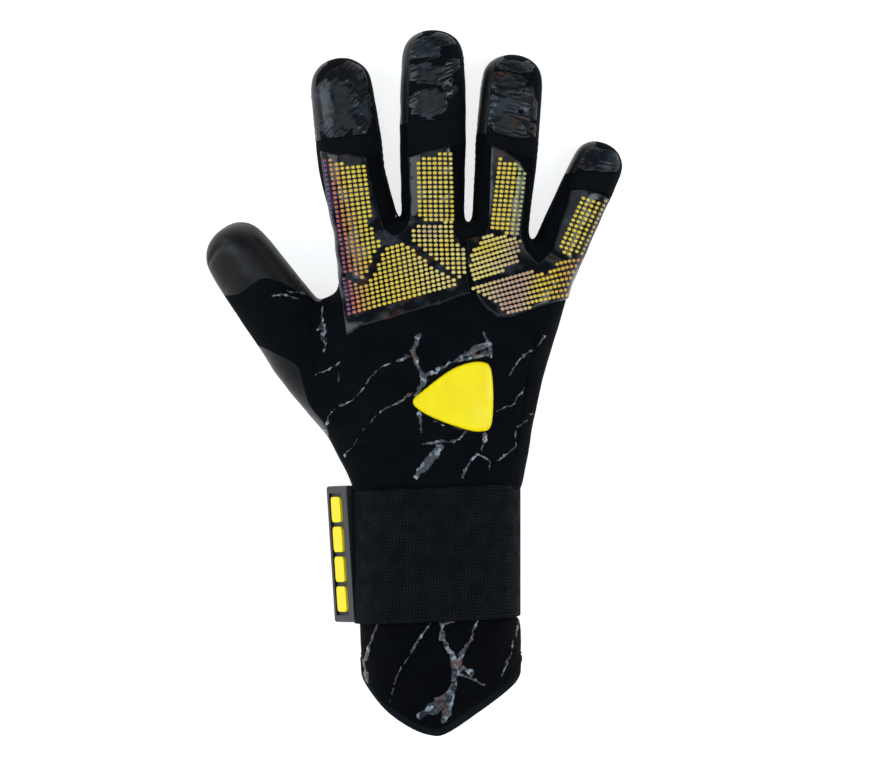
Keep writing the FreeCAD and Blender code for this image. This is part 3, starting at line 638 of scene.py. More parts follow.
def line_field(lines, points):
    """Positive within the half width of a set of lines of points (x, y, half width)."""
    best = np.full(len(points), -1e9)
    for line in lines:
        for (ax, ay, aw), (bx, by, bw) in zip(line[:-1], line[1:]):
            t, distance = from_segment(points, ax, ay, bx, by)
            best = np.maximum(best, aw + t * (bw - aw) - distance)
    return best


def curve_between(a, b, c, d, steps):
    """Points from b towards c on a smooth curve through a, b, c and d."""
    t = np.linspace(0.0, 1.0, steps, endpoint=False)[:, None]
    return 0.5 * (2 * b + (c - a) * t + (2 * a - 5 * b + 4 * c - d) * t ** 2
                  + (3 * b - a - 3 * c + d) * t ** 3)


def rounded_outline(outline, steps=6):
    """More points on a smooth closed curve through the outline's points."""
    p = np.asarray(outline, float)
    corners = (tuple(p[(i + k) % len(p)] for k in (-1, 0, 1, 2)) for i in range(len(p)))
    return np.vstack([curve_between(*four, steps) for four in corners])


# ---------------------------------------------------------------- materials
class Shader:
    """A material's nodes; textures are placed by the skin's rest position, in millimetres."""

    def __init__(self, name, colour, roughness, specular=0.5, coat=0.0, coat_roughness=0.05, sheen=0.0):
        self.material = bpy.data.materials.new(name)
        self.material.use_nodes = True
        self.tree = self.material.node_tree
        self.surface = self.tree.nodes["Principled BSDF"]
        self.set("Base Color", (*colour, 1.0))
        self.set("Roughness", roughness)
        self.set("Specular IOR Level", specular)
        self.set("Coat Weight", coat)
        self.set("Coat Roughness", coat_roughness)
        self.set("Sheen Weight", sheen)
        self.set("Sheen Tint", (1, 1, 1, 1))
        self.set("IOR", 1.5)
        self.place = self.node("ShaderNodeAttribute", attribute_name="cloth").outputs["Vector"]
        self.bumps = None

    def set(self, socket, value):
        """Gives the surface a constant value."""
        self.surface.inputs[socket].default_value = value

    def node(self, kind, inputs=(), **settings):
        """A node with its inputs linked or set."""
        made = self.tree.nodes.new(kind)
        for key, value in settings.items():
            setattr(made, key, value)
        for key, value in dict(inputs).items():
            if isinstance(value, bpy.types.NodeSocket):
                self.tree.links.new(value, made.inputs[key])
            else:
                made.inputs[key].default_value = value
        return made

    def stretched(self, scale, turn=0.0):
        """The cloth's coordinates, scaled and turned in plan."""
        made = self.node("ShaderNodeMapping", {"Vector": self.place, "Scale": scale,
                                               "Rotation": (0.0, 0.0, math.radians(turn))})
        return made.outputs["Vector"]

    def noise(self, size, detail=3.0, scale=(1, 1, 1)):
        """Smooth noise with bumps of a size in millimetres."""
        made = self.node("ShaderNodeTexNoise", {"Vector": self.stretched(scale), "Scale": 1.0 / size,
                                                "Detail": detail, "Roughness": 0.55})
        return made.outputs["Fac"]

    def cells(self, size):
        """Distance to the middle of cells of a size in millimetres."""
        made = self.node("ShaderNodeTexVoronoi", {"Vector": self.stretched((1, 1, 1)), "Scale": 1.0 / size})
        return made.outputs["Distance"]

    def math(self, operation, a, b=0.0):
        """A sum, product or the like of sockets and numbers."""
        return self.node("ShaderNodeMath", {0: a, 1: b}, operation=operation).outputs[0]

    def ribs(self, pitch, turn=0.0, wander=0.0):
        """Ribs along the cloth's X, pitch millimetres apart, turned by an angle."""
        split = self.node("ShaderNodeSeparateXYZ", {"Vector": self.stretched((1, 1, 1), turn)})
        line = split.outputs["Y"]
        if wander:
            line = self.math("ADD", line, self.math("MULTIPLY", self.noise(4.0), wander))
        wave = self.math("SINE", self.math("MULTIPLY", line, 2.0 * math.pi / pitch))
        return self.math("ADD", self.math("MULTIPLY", wave, 0.5), 0.5)

    def range(self, value, low, high, start=0.3, end=0.7):
        """A value between start and end, spread from low to high."""
        made = self.node("ShaderNodeMapRange", {"Value": value, "From Min": start, "From Max": end,
                                                "To Min": low, "To Max": high})
        return made.outputs["Result"]

    def mix(self, value, first, second):
        """A colour between two colours or colour sockets."""
        made = self.node("ShaderNodeMix", {"Factor": value}, data_type="RGBA")
        for socket, colour in ((made.inputs[6], first), (made.inputs[7], second)):
            if isinstance(colour, bpy.types.NodeSocket):
                self.tree.links.new(colour, socket)
            else:
                socket.default_value = (*colour, 1.0)
        return made.outputs[2]

    def drive(self, socket, value):
        """Links a node's output to the surface."""
        self.tree.links.new(value, self.surface.inputs[socket])

    def bump(self, height, distance, strength=1.0):
        """Adds a layer of relief of that height in millimetres."""
        inputs = {"Height": height, "Distance": distance * MM, "Strength": strength}
        if self.bumps is not None:
            inputs["Normal"] = self.bumps
        self.bumps = self.node("ShaderNodeBump", inputs).outputs["Normal"]
        self.drive("Normal", self.bumps)


def knit_material(name, colour, light, pitch=0.62, specular=0.05):
    """Fine knitted fabric: faint courses, stitches and lint."""
    s = Shader(name, colour, 0.9, specular=specular)
    courses = s.ribs(pitch, wander=0.5)
    wales = s.ribs(pitch * 0.8, turn=90.0, wander=0.4)
    stitch = s.math("MULTIPLY", courses, wales)
    worn = s.noise(9.0, detail=4.0)
    tone = s.mix(s.range(stitch, 0.0, 1.0, 0.0, 1.0), colour, light)
    s.drive("Base Color", s.mix(s.range(worn, 0.0, 0.6), tone, colour))
    s.drive("Roughness", s.range(worn, 0.82, 0.97))
    s.bump(stitch, 0.12, 0.6)
    s.bump(s.noise(0.7, detail=4.0), 0.14, 0.5)
    s.bump(s.noise(6.0), 0.5, 0.35)
    return s.material


def latex_material(name, colour, light, roughness=(0.34, 0.5)):
    """Smooth foam latex: a skin of fine pores, slightly satin, with soft clouding."""
    s = Shader(name, colour, 0.42, specular=0.22)
    cloud = s.noise(14.0, detail=4.0)
    pores = s.cells(0.5)
    # For the wrap, the brownish light colour that the clouds mix in is a painted sheen.
    s.drive("Base Color", s.mix(s.range(cloud, 0.0, 1.0), colour, light))
    s.drive("Roughness", s.range(cloud, *roughness))
    s.bump(pores, 0.05, 0.4)
    s.bump(s.noise(2.2, detail=3.0), 0.12, 0.25)
    return s.material


def silicone_material(name, colour, light, roughness=(0.08, 0.2), tint=(0.045, 0.020, 0.012),
                      mottle_size=11.0, specular=0.22):
    """Moulded glossy silicone with slow waves; its lighter blue-grey patches and the brownish patches in
    places are painted reflections.
    """
    s = Shader(name, colour, 0.12, specular=specular)
    tone_and_reflection = s.noise(mottle_size, detail=3.0)
    # Painted reflection: noise mixes the dark colour towards the lighter blue-grey one, then towards the
    # brownish tint.
    tone = s.mix(s.range(tone_and_reflection, 0.0, 1.0, 0.52, 0.66), colour, light)
    s.drive("Base Color", s.mix(s.range(s.noise(8.0, detail=3.0), 0.0, 1.0, 0.57, 0.68), tone, tint))
    s.drive("Roughness", s.range(s.noise(3.0), *roughness))
    s.bump(s.noise(5.0, detail=1.0), 0.35, 0.5)
    s.bump(s.noise(0.9, detail=2.0), 0.03, 0.4)
    return s.material


def dot_material():
    """Lacquered silicone dots: yellow, with the tints that each dot's place gives it, which paint an
    iridescent sheen in places.
    """
    s = Shader("dot_lacquer", (0.9, 0.7, 0.1), 0.3, specular=0.5, coat=0.3, coat_roughness=0.12)
    tint = s.node("ShaderNodeAttribute", attribute_name="tint").outputs["Color"]
    grain = s.noise(0.35, detail=2.0)
    s.drive("Base Color", s.mix(s.range(grain, 0.0, 0.22), tint, (0.25, 0.12, 0.04)))
    s.drive("Roughness", s.range(grain, 0.22, 0.42))
    s.bump(grain, 0.05, 0.4)
    return s.material


def yellow_material(name):
    """Bright yellow moulded rubber, glossy, with faint flow marks."""
    s = Shader(name, (0.9, 0.72, 0.0), 0.25, specular=0.22)
    flow = s.noise(12.0, detail=3.0, scale=(1.0, 0.4, 1.0))
    s.drive("Base Color", s.mix(s.range(flow, 0.0, 1.0), (1.0, 0.82, 0.0), (0.93, 0.70, 0.0)))
    s.drive("Roughness", s.range(flow, 0.18, 0.36))
    s.bump(s.noise(7.0, detail=1.0), 0.4, 0.4)
    s.bump(s.noise(0.6), 0.02, 0.4)
    return s.material


def elastic_material():
    """Woven elastic: diagonal twill ribs crossed by fine yarns."""
    s = Shader("strap_elastic", (0.008, 0.009, 0.011), 0.75, specular=0.03)
    twill = s.ribs(1.0, turn=44.0, wander=0.12)
    yarn = s.ribs(1.3, turn=90.0, wander=0.15)
    worn = s.noise(6.0, detail=5.0)
    weave = s.math("MULTIPLY", twill, s.range(yarn, 0.6, 1.0, 0.0, 1.0))
    tone = s.mix(s.range(weave, 0.0, 1.0, 0.3, 0.95), (0.0004, 0.0006, 0.0010), (0.024, 0.029, 0.039))
    s.drive("Base Color", s.mix(s.range(worn, 0.0, 0.45, 0.35, 0.6), tone, (0.0010, 0.0014, 0.0020)))
    s.drive("Roughness", s.range(worn, 0.6, 0.85))
    s.bump(twill, 0.3, 0.9)
    s.bump(yarn, 0.08, 0.5)
    s.bump(s.noise(5.0), 0.4, 0.4)
    return s.material


def tab_face():
    """The direction the pull tab faces, and how far its rim lies along it, in metres."""
    turn = rotation("z", TAB_SLANT) @ rotation("y", -TAB_SLOPE)
    facing = turn @ np.array([0.0, 0.0, 1.0])
    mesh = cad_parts["pull_tab"].data
    return facing, max(float(facing @ np.array(v.co)) for v in mesh.vertices)


def tab_material():
    """Moulded rubber: matt skin with fine grain and a random lighter mottle, with painted shade inside the
    tab's recess.
    """
    colour, light = (0.017, 0.017, 0.020), (0.034, 0.034, 0.038)
    s = Shader("tab_rubber", colour, 0.45, specular=0.3)
    facing, rim = tab_face()
    place = s.node("ShaderNodeTexCoord").outputs["Object"]
    height = s.node("ShaderNodeVectorMath", {0: place, 1: facing}, operation="DOT_PRODUCT").outputs["Value"]
    raised = s.range(height, 0.0, 1.0, rim - 0.55 * MM, rim - 0.25 * MM)
    worn = s.noise(5.0, detail=5.0)
    tone = s.mix(s.range(worn, 0.0, 1.0), colour, light)
    # Painted shade: below the rim, inside the recess, the colour is near black.
    s.drive("Base Color", s.mix(raised, (0.0035, 0.0035, 0.004), tone))
    s.drive("Roughness", s.range(worn, 0.35, 0.55))
    s.bump(s.cells(0.4), 0.04, 0.5)
    s.bump(s.noise(3.0), 0.1, 0.3)
    return s.material


def pile_material(name, colour, light):
    """Hook or loop patch: a dense pile of tiny loops."""
    s = Shader(name, colour, 0.9, specular=0.15, sheen=0.2)
    loops = s.cells(0.7)
    s.drive("Base Color", s.mix(s.range(loops, 0.0, 1.0, 0.1, 0.6), light, colour))
    s.drive("Roughness", s.range(s.noise(2.0), 0.75, 0.95))
    s.bump(loops, 0.5, 0.8)
    return s.material


def thread_material(name, colour):
    """Twisted sewing thread."""
    s = Shader(name, colour, 0.6, specular=0.15)
    twist = s.ribs(0.3, turn=30.0)
    s.drive("Base Color", s.mix(twist, colour, tuple(2.2 * c for c in colour)))
    s.drive("Roughness", s.range(s.noise(1.0), 0.5, 0.7))
    s.bump(twist, 0.05, 0.6)
    return s.material


MATERIALS = {
    "knit": knit_material("backhand_knit", (0.0016, 0.0022, 0.0032), (0.005, 0.0065, 0.009)),
    "gusset": knit_material("gusset_knit", (0.0013, 0.0018, 0.0028), (0.004, 0.005, 0.0075), pitch=0.5),
    "base": knit_material("cap_knit", (0.0018, 0.0025, 0.0038), (0.005, 0.0065, 0.009),
                          pitch=0.5, specular=0.08),
    "flex": knit_material("flex_rib", (0.0022, 0.0032, 0.0045), (0.006, 0.008, 0.011),
                          pitch=0.9, specular=0.06),
    "neoprene": knit_material("neoprene_jersey", (0.0012, 0.0016, 0.0024), (0.0032, 0.004, 0.0055),
                              pitch=0.4),
    "binding": knit_material("binding_tape", (0.0035, 0.005, 0.0075), (0.008, 0.011, 0.016),
                             pitch=0.5, specular=0.10),
    "latex": latex_material("palm_foam", (0.007, 0.008, 0.009), (0.012, 0.013, 0.016)),
    # The wrap's brownish light colour paints a brown sheen on the dark latex.
    "wrap": latex_material("wrap_foam", (0.0032, 0.0040, 0.0054), (0.0085, 0.0070, 0.0072),
                           (0.32, 0.46)),
    "backing": knit_material("lining_knit", (0.008, 0.008, 0.009), (0.020, 0.020, 0.022), pitch=0.8),
    # Silicone, vein print and cap print: the light colours and brownish tints are painted reflections; the
    # veins' light grey is partly the print's own colour.
    "silicone": silicone_material("silicone_pad", (0.004, 0.005, 0.007), (0.026, 0.032, 0.042)),
    "vein": silicone_material("vein_print", (0.018, 0.022, 0.028), (0.27, 0.32, 0.38), (0.06, 0.26),
                              (0.085, 0.038, 0.024), 3.2, specular=0.5),
    "cap_print": silicone_material("cap_print", (0.006, 0.008, 0.011), (0.020, 0.026, 0.034),
                                   (0.12, 0.30), (0.022, 0.012, 0.009)),
    "dot": dot_material(),
    "badge": yellow_material("badge_rubber"),
    "tab_yellow": yellow_material("tab_blocks_rubber"),
    "tab_rubber": tab_material(),
    "elastic": elastic_material(),
    "loop": pile_material("loop_pile", (0.008, 0.008, 0.009), (0.03, 0.03, 0.033)),
    "hook": pile_material("hook_pile", (0.010, 0.010, 0.011), (0.05, 0.05, 0.055)),
    "seam_thread": thread_material("seam_thread", (0.02, 0.021, 0.024)),
    "thread": thread_material("sewing_thread", (0.0014, 0.0018, 0.0026)),
}


# ---------------------------------------------------------------- objects
def mesh_object(name, rows, triangles, material, custom=True, tints=None):
    """A Blender object from a sheet; cloth coordinates are its places on the skin."""
    mesh = bpy.data.meshes.new(name)
    a, b, c = (rows[triangles[:, k], POINT] for k in range(3))
    area = np.linalg.norm(np.cross(b - a, c - a), axis=1)
    rows, triangles = compact(rows, triangles[area > 1e-7])
    mesh.vertices.add(len(rows))
    mesh.vertices.foreach_set("co", (rows[:, POINT] * MM).ravel())
    mesh.loops.add(3 * len(triangles))
    mesh.loops.foreach_set("vertex_index", triangles.ravel())
    mesh.polygons.add(len(triangles))
    mesh.polygons.foreach_set("loop_start", np.arange(0, 3 * len(triangles), 3))
    mesh.polygons.foreach_set("use_smooth", np.ones(len(triangles), bool))
    mesh.update(calc_edges=True)
    cloth = mesh.attributes.new("cloth", "FLOAT_VECTOR", "POINT")
    cloth.data.foreach_set("vector", rows[:, REST].ravel())
    if tints is not None:
        colours = mesh.attributes.new("tint", "FLOAT_COLOR", "POINT")
        colours.data.foreach_set("color", np.hstack([tints, np.ones((len(tints), 1))]).ravel())
    if custom:
        mesh.normals_split_custom_set_from_vertices(rows[:, NORMAL])
    mesh.materials.append(MATERIALS[material])
    obj = bpy.data.objects.new(name, mesh)
    bpy.context.collection.objects.link(obj)
    return obj


def carry(obj, zone, nodes=()):
    """Puts a piece on its body, or bakes the place of a piece that lies over a joint into its mesh."""
    name, _, part = zone.partition(".")
    if not part:
        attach(obj, name)
    else:
        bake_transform(obj)
    if nodes:
        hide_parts(*nodes)
    return obj


def digit_field(name, rest, limit):
    """Distance along the digit past limit, for points that belong to that digit."""
    p = local(name, rest)
    near = (np.abs(p[:, 0]) < DIGITS[name]["reach_across"]) & (p[:, 1] > -8.0)
    if name == "thumb":
        near &= rest[:, 0] < THUMB_SIDE
    return np.where(near, p[:, 1] - limit, -5.0)


def zones(sheet):
    """A sheet cut at the bending zones: hand, and NAME.lower and NAME.upper for each digit."""
    found = {}
    rows = sheet[0]
    best = np.full(len(rows), -5.0)
    for name in DIGITS:
        best = np.maximum(best, digit_field(name, rows[:, REST], split_at(name)[0]))
    found["hand"] = cut(sheet, -best)
    for name in DIGITS:
        start, middle = split_at(name)
        part = cut(sheet, digit_field(name, rows[:, REST], start))
        if len(part[1]) == 0:
            continue
        along = local(name, part[0][:, REST])[:, 1]
        found[name + ".lower"] = cut(part, middle - along)
        found[name + ".upper"] = cut(part, along - middle)
    return {zone: part for zone, part in found.items() if len(part[1]) > 0}


# ---------------------------------------------------------------- base skin
def make_skin():
    """The glove's outer skin in one piece, open where it ends under the strap."""
    parts = [hand_tube(), tube(thumb_root_rings() + digit_rings("thumb", 0.0))]
    parts += [tube(digit_rings(name, FINGER_ROOT)) for name in FINGERS]
    points, triangles = remeshed(parts, VOXEL)
    points = relaxed(points, triangles, SMOOTHING)
    normals = normals_of(points, triangles)
    wide, high, narrow, low = FOLDS
    soft = 0.4 + high * noise(points, wide, 1) + low * noise(points, narrow, 2)
    seams = smooth_step(-0.6, 0.6, line_field(SEAMS, points))
    soft -= 0.9 * seams * smooth_step(14.0, 20.0, points[:, 2])
    points = points + normals * soft[:, None]
    points = thumb_crease(points, normals)
    points[:, 2] = np.maximum(points[:, 2], 0.0)
    sheet = new_sheet(points, triangles)
    return cut(sheet, points[:, 1] - HAND_END)


def thumb_crease(points, normals):
    """The crease across the thumb's latex near its tip."""
    p = local("thumb", points)
    on = (p[:, 1] > 30.0) & (np.abs(p[:, 0]) < 20.0)
    crease = p[:, 1] - 44.5 - 0.10 * p[:, 0] + 0.02 * p[:, 0] ** 2
    across = smooth_step(-10.0, -5.0, p[:, 0]) * (1.0 - smooth_step(3.0, 8.0, p[:, 0]))
    depth = np.where(on & (p[:, 2] > 0.0), 0.9 * np.exp(-crease ** 2) * across, 0.0)
    return points - normals * depth[:, None]


def palm_height(name, along):
    """Height over a digit's floor where the palm's latex meets the side."""
    return floor_of(name) + PALM_SHARE * size_at(name, "depths", along)


def thumb_latex_field(rest):
    """Positive where the thumb is latex: its end, and the strip down its inner side."""
    p = (rest - origin_of("thumb")) @ rotation("z", -DIGITS["thumb"]["lean"])
    across, along = p[:, 0], p[:, 1]
    places, starts = zip(*THUMB_LATEX)
    blur = np.linspace(-2.6, 2.6, 7)
    return along - np.mean([np.interp(across + d, places, starts) for d in blur], axis=0)


def lens_field(rest):
    """Positive on the latex of the thumb's ball."""
    return outline_field(rounded_outline(THUMB_LENS), rest)


def palm_level(rest):
    """Height over the line where the palm's latex meets the back."""
    near_fingers = smooth_step(20.0, 50.0, rest[:, 1])
    return rest[:, 2] - (PALM_EDGE + PALM_RISE * near_fingers)


def split(part, field_of):
    """A sheet's two parts: where the field is above 0, and the rest."""
    field = field_of(part[0][:, REST])
    return cut(part, field), cut(part, -field)


def hand_pieces(part):
    """The hand's knit back, the palm's latex and the latex on the thumb's ball."""
    back, palm = split(part, palm_level)
    lens, back = split(back, lens_field)
    return [("backhand", "knit", back), ("palm", "latex", palm), ("thumb_lens", "wrap", lens)]


def digit_pieces(name, lower, part):
    """One stretch of a digit: its knit or gusset, cap and wrap, and the latex under it."""
    upper, under = split(part, lambda rest: palm_offset(name, rest))
    sleeve = "_sleeve" if lower else "_flex_sleeve"
    latex = (name + ("_lower_latex" if lower else "_tip_latex"), "latex", under)
    if name == "thumb":
        wrap, knit = split(upper, thumb_latex_field)
        pieces = [(name + ("_lower_wrap" if lower else "_wrap"), "wrap", wrap)]
        if lower:
            lens, knit = split(knit, lens_field)
            pieces.append((name + "_lower_lens", "wrap", lens))
        return pieces + [(name + sleeve, "knit", knit), latex]
    if lower:
        return [(name + sleeve, "knit", upper), latex]
    tip, flex = split(upper, lambda rest: cap_start(name, rest))
    wrap, cap = split(tip, lambda rest: wrap_field(name, rest))
    return [(name + sleeve, "gusset", flex), (name + "_cap_base", "base", cap),
            (name + "_wrap", "wrap", wrap), latex]


# The CAD nodes that pieces of a digit stand for
NODES = {
    "_sleeve": ("_lower_back", "_lower_gussets"),
    "_lower_latex": ("_lower_palm",),
    "_flex_sleeve": ("_flex_band",),
    "_wrap": ("_tip_back", "_tip_wrap"),
    "_tip_latex": ("_tip_palm",),
}


def nodes_for(label, name):
    """The CAD nodes that a piece of the skin stands for."""
    if label == "backhand":
        return ["backhand_panel"] + [digit + "_knuckle_flex" for digit in DIGITS]
    if label == "palm":
        return ["palm_latex", "palm_backing"]
    return [name + node for node in NODES.get(label[len(name):], ())]


def base_pieces():
    """Knit back, gussets, wraps and the palm's latex, piece by piece."""
    for zone, part in zones(skin).items():
        name, _, stretch = zone.partition(".")
        pieces = digit_pieces(name, stretch == "lower", part) if stretch else hand_pieces(part)
        for label, material, piece in pieces:
            if len(piece[1]) == 0:
                continue
            obj = mesh_object(label, *piece, material)
            carry(obj, zone, nodes_for(label, name))


def wrap_field(name, rest):
    """Positive on the latex strip that wraps a fingertip's thumb side, outside its cap."""
    p = local(name, rest)
    tip = DIGITS[name]["tip"]
    return np.minimum(-cap_field(name, rest), -p[:, 0] - 2.0 - 0.35 * np.maximum(0.0, p[:, 1] - tip + 8.0))


def cap_start(name, rest):
    """Distance past the lower edge of a fingertip's cap."""
    p = local(name, rest)
    return p[:, 1] - CAPS[name]["low"] - CAPS[name]["tilt"] * p[:, 0]


def border_loops(triangles, level):
    """Lines of vertices along a cut's edge where the level is 0."""
    edges = np.sort(triangles[:, [0, 1, 1, 2, 2, 0]].reshape(-1, 2), axis=1)
    unique, counts = np.unique(edges, axis=0, return_counts=True)
    near = np.abs(level) < 1e-3
    rim = unique[(counts == 1) & near[unique[:, 0]] & near[unique[:, 1]]]
    beside = {}
    for a, b in rim:
        beside.setdefault(int(a), []).append(int(b))
        beside.setdefault(int(b), []).append(int(a))
    lines = []
    while beside:
        at = min(beside, key=lambda k: (len(beside[k]), k))
        line = [at]
        while beside.get(at):
            following = beside[at].pop()
            beside[following].remove(at)
            if not beside[at]:
                del beside[at]
            at = following
            line.append(at)
        beside.pop(at, None)
        if len(line) > 6:
            lines.append(line)
    return lines


def make_palm_seams():
    """Thread along the seam between the palm's latex and the back, piece by piece."""
    for zone, part in zones(skin).items():
        if zone == "thumb.upper":
            continue
        name = zone.partition(".")[0]
        level_of = palm_level if zone == "hand" else (lambda rest: palm_offset(name, rest))
        rows, triangles = compact(*cut(part, level_of(part[0][:, REST])))
        lines = [rows[line] for line in border_loops(triangles, level_of(rows[:, REST]))]
        made = [stitches(line[:, POINT] - 0.04 * line[:, NORMAL], line[:, NORMAL],
                         length=2.0, gap=1.0, thick=0.17) for line in lines]
        made = [sheet for sheet in made if sheet is not None]
        if made:
            obj = mesh_object("seam_" + zone.replace(".", "_"), *joined(made), "seam_thread", custom=False)
            carry(obj, zone)


def palm_offset(name, rest):
    """Height over the line where a digit's latex starts."""
    p = local(name, rest)
    return p[:, 2] - palm_height(name, p[:, 1])


def over_middle(name, rest, share):
    """Height over a share of a digit's depth."""
    p = local(name, rest)
    return p[:, 2] - floor_of(name) - share * size_at(name, "depths", p[:, 1])


def cap_field(name, rest):
    """Positive inside the printed cap of a fingertip."""
    cap, d = CAPS[name], DIGITS[name]
    p = local(name, rest)
    width = size_at(name, "widths", p[:, 1])
    left, right = -0.5 * width + cap["left"], 0.5 * width - cap["right"]
    top = d["tip"] - 1.2
    radius = 0.5 * d["widths"][2] - 0.5 * (cap["left"] + cap["right"])
    middle = 0.5 * (left + right)
    x, y = p[:, 0] - middle, p[:, 1] - (top - radius)
    dome = radius - (np.abs(x) ** 2.3 + np.maximum(y, 0.0) ** 2.3) ** (1 / 2.3)
    side = np.minimum(p[:, 0] - left, right - p[:, 0])
    field = np.minimum(np.where(y > 0, dome, side), cap_start(name, rest))
    return np.minimum(field, over_middle(name, rest, 0.52))


def islands(name, rest):
    """The marbled print on a cap: how far inside a smooth island, its edge's noise, and its grain."""
    cap = CAPS[name]
    p = local(name, rest)
    turn = math.radians(cap["grain"])
    along = p[:, 0] * math.cos(turn) + p[:, 1] * math.sin(turn)
    across = -p[:, 0] * math.sin(turn) + p[:, 1] * math.cos(turn)
    q = np.stack([along / 3.2, across, p[:, 2] * 0.4], axis=1)
    torn = rough_noise(q, 2.4, cap["seed"])
    best = np.full(len(rest), -9.0)
    for x, y, wide, tall in cap["gloss"]:
        reach = np.hypot((p[:, 0] - x) / wide, (p[:, 1] - y) / tall)
        best = np.maximum(best, (1.0 - reach) * min(wide, tall))
    return best, torn, q


def patch(field_of, levels=2, margin=1.7, base=None):
    """The part of the skin, or of another sheet, inside a field, finely divided."""
    base = base or skin
    rows, triangles = base
    near = field_of(rows[:, REST]) > -margin
    sheet = refined(base, near[triangles].any(axis=1))
    for _ in range(levels - 1):
        near = field_of(sheet[0][:, REST]) > -0.6 * margin
        sheet = refined(sheet, near[sheet[1]].any(axis=1))
    return cut(sheet, field_of(sheet[0][:, REST]))


def raise_patch(sheet, field_of, height, edge, relief=None):
    """Lifts a patch off the skin, with a rounded edge that dips just under it."""
    rows, triangles = sheet
    rows = rows.copy()
    inside = np.clip(field_of(rows[:, REST]), 0.0, None)
    t = np.clip(inside / edge, 0.0, 1.0)
    lift = -0.12 + (height + 0.12) * np.sqrt(1.0 - (1.0 - t) ** 2)
    if relief is not None:
        lift = lift + relief(rows[:, REST]) * t
    rows[:, POINT] += rows[:, NORMAL] * lift[:, None]
    rows[:, NORMAL] = normals_of(rows[:, POINT], triangles)
    return rows, triangles


def add_patches(label, sheet, material, nodes=None):
    """One object for each stretch of the glove that a patch covers."""
    for zone, part in zones(sheet).items():
        obj = mesh_object("%s_%s" % (label, zone.replace(".", "_")), *part, material)
        carry(obj, zone, (nodes or {}).get(zone, ()))


def high_side(rest):
    """Positive on the upper side of hand and fingers, seen from above."""
    return rest[:, 2] - PAD_LOW


def pad_field(outline):
    """Positive inside an outline on the back of the hand."""
    return lambda rest: np.minimum(outline_field(outline, rest), high_side(rest))


def make_pads():
    """The moulded silicone pads over the knuckles, with their strips on the fingers."""
    for label, outline, fingers in (("pad_inner", INNER_PAD, ("index", "middle")),
                                    ("pad_outer", OUTER_PAD, ("ring", "little"))):
        field = pad_field(outline)
        sheet = raise_patch(patch(field), field, PAD_HEIGHT, 0.9,
                            lambda rest: 0.22 * noise(rest, 7.0, 5) + 0.07 * noise(rest, 3.0, 6))
        nodes = {"hand": ["knuckle_" + label]}
        nodes.update({f + ".lower": [f + "_back_pad"] for f in fingers})
        add_patches(label, sheet, "silicone", nodes)


def vein_field(veins):
    """Positive inside the print's veins, whose edges are torn by noise."""
    def field(rest):
        shift = np.stack([noise(rest, 3.2, 40), noise(rest, 3.2, 41)], axis=1) * 0.8
        shift += np.stack([noise(rest, 1.2, 42), noise(rest, 1.2, 43)], axis=1) * 0.35
        q = rest.copy()
        q[:, :2] += shift
        return line_field(veins, q) + 0.5 * noise(rest, 1.5, 44) - 0.12
    return field


def vein_sheet(veins, low, seed, base=None):
    """A raised print of veins, above a height of the hand or cuff."""
    print_field = vein_field(veins)

    def field(rest):
        return np.minimum(print_field(rest), rest[:, 2] - low)

    return raise_patch(patch(field, 2, 2.2, base), field, PRINT_HEIGHT, 0.5,
                       lambda rest: 0.12 * noise(rest, 1.3, seed))


def make_caps():
    """The printed caps of the fingertips: smooth islands, with fine ridges between them."""
    for name, cap in CAPS.items():
        def field(rest, name=name):
            smooth, torn, _ = islands(name, rest)
            return np.minimum(cap_field(name, rest), smooth + 3.0 * torn + 1.1)

        def relief(rest, name=name, seed=cap["seed"]):
            smooth, _, q = islands(name, rest)
            calm = smooth_step(0.8, 3.0, smooth)
            ridge = 1.0 - np.abs(noise(q, 1.5, seed + 5))
            return 0.30 * (1.0 - calm) * (ridge ** 3 - 0.3) + 0.06 * noise(rest, 5.0, seed + 6)

        sheet = raise_patch(patch(field, 2, 2.4), field, PRINT_HEIGHT, 0.45, relief)
        add_patches("cap_print", sheet, "cap_print")


def make_flex_bands():
    """Smooth elastic bands over the middle joints, between a pad and a cap."""
    for name, cap in CAPS.items():
        def field(rest, name=name, cap=cap):
            p = local(name, rest)
            half = 0.5 * size_at(name, "widths", p[:, 1])
            pad_top = cap["pad_top"][0] + cap["pad_top"][1] * p[:, 0]
            sides = np.minimum(p[:, 0] + half - cap["left"], half - 0.9 - p[:, 0])
            ends = np.minimum(p[:, 1] - pad_top - 0.3, -cap_start(name, rest) - 0.2)
            return np.minimum(np.minimum(sides, ends), over_middle(name, rest, 0.5))

        sheet = raise_patch(patch(field, 1), field, FLEX_HEIGHT, 0.5)
        for zone, part in zones(sheet).items():
            obj = mesh_object(name + "_flex_band_cloth", *part, "flex")
            carry(obj, zone)


def make_badge():
    """The plain yellow badge on the back of the hand."""
    field = pad_field(rounded_outline(BADGE))
    sheet = raise_patch(patch(field), field, BADGE_HEIGHT, 1.5, lambda rest: 0.15 * noise(rest, 9.0, 60))
    obj = mesh_object("badge", *sheet, "badge")
    carry(obj, "hand", ["back_badge"])


# ---------------------------------------------------------------- dots
def blend_tints(stops, value):
    """The colour at value between stops of (value, tint's name)."""
    at = [s[0] for s in stops]
    colours = np.array([TINTS[s[1]] for s in stops])
    return np.array([np.interp(value, at, colours[:, k]) for k in range(3)])


def random_share(x, y, size, seed):
    """A smooth random value from 0 to 1 at a place."""
    return 0.5 + 0.5 * float(noise(np.array([[x, y, 0.0]]), size, seed)[0])


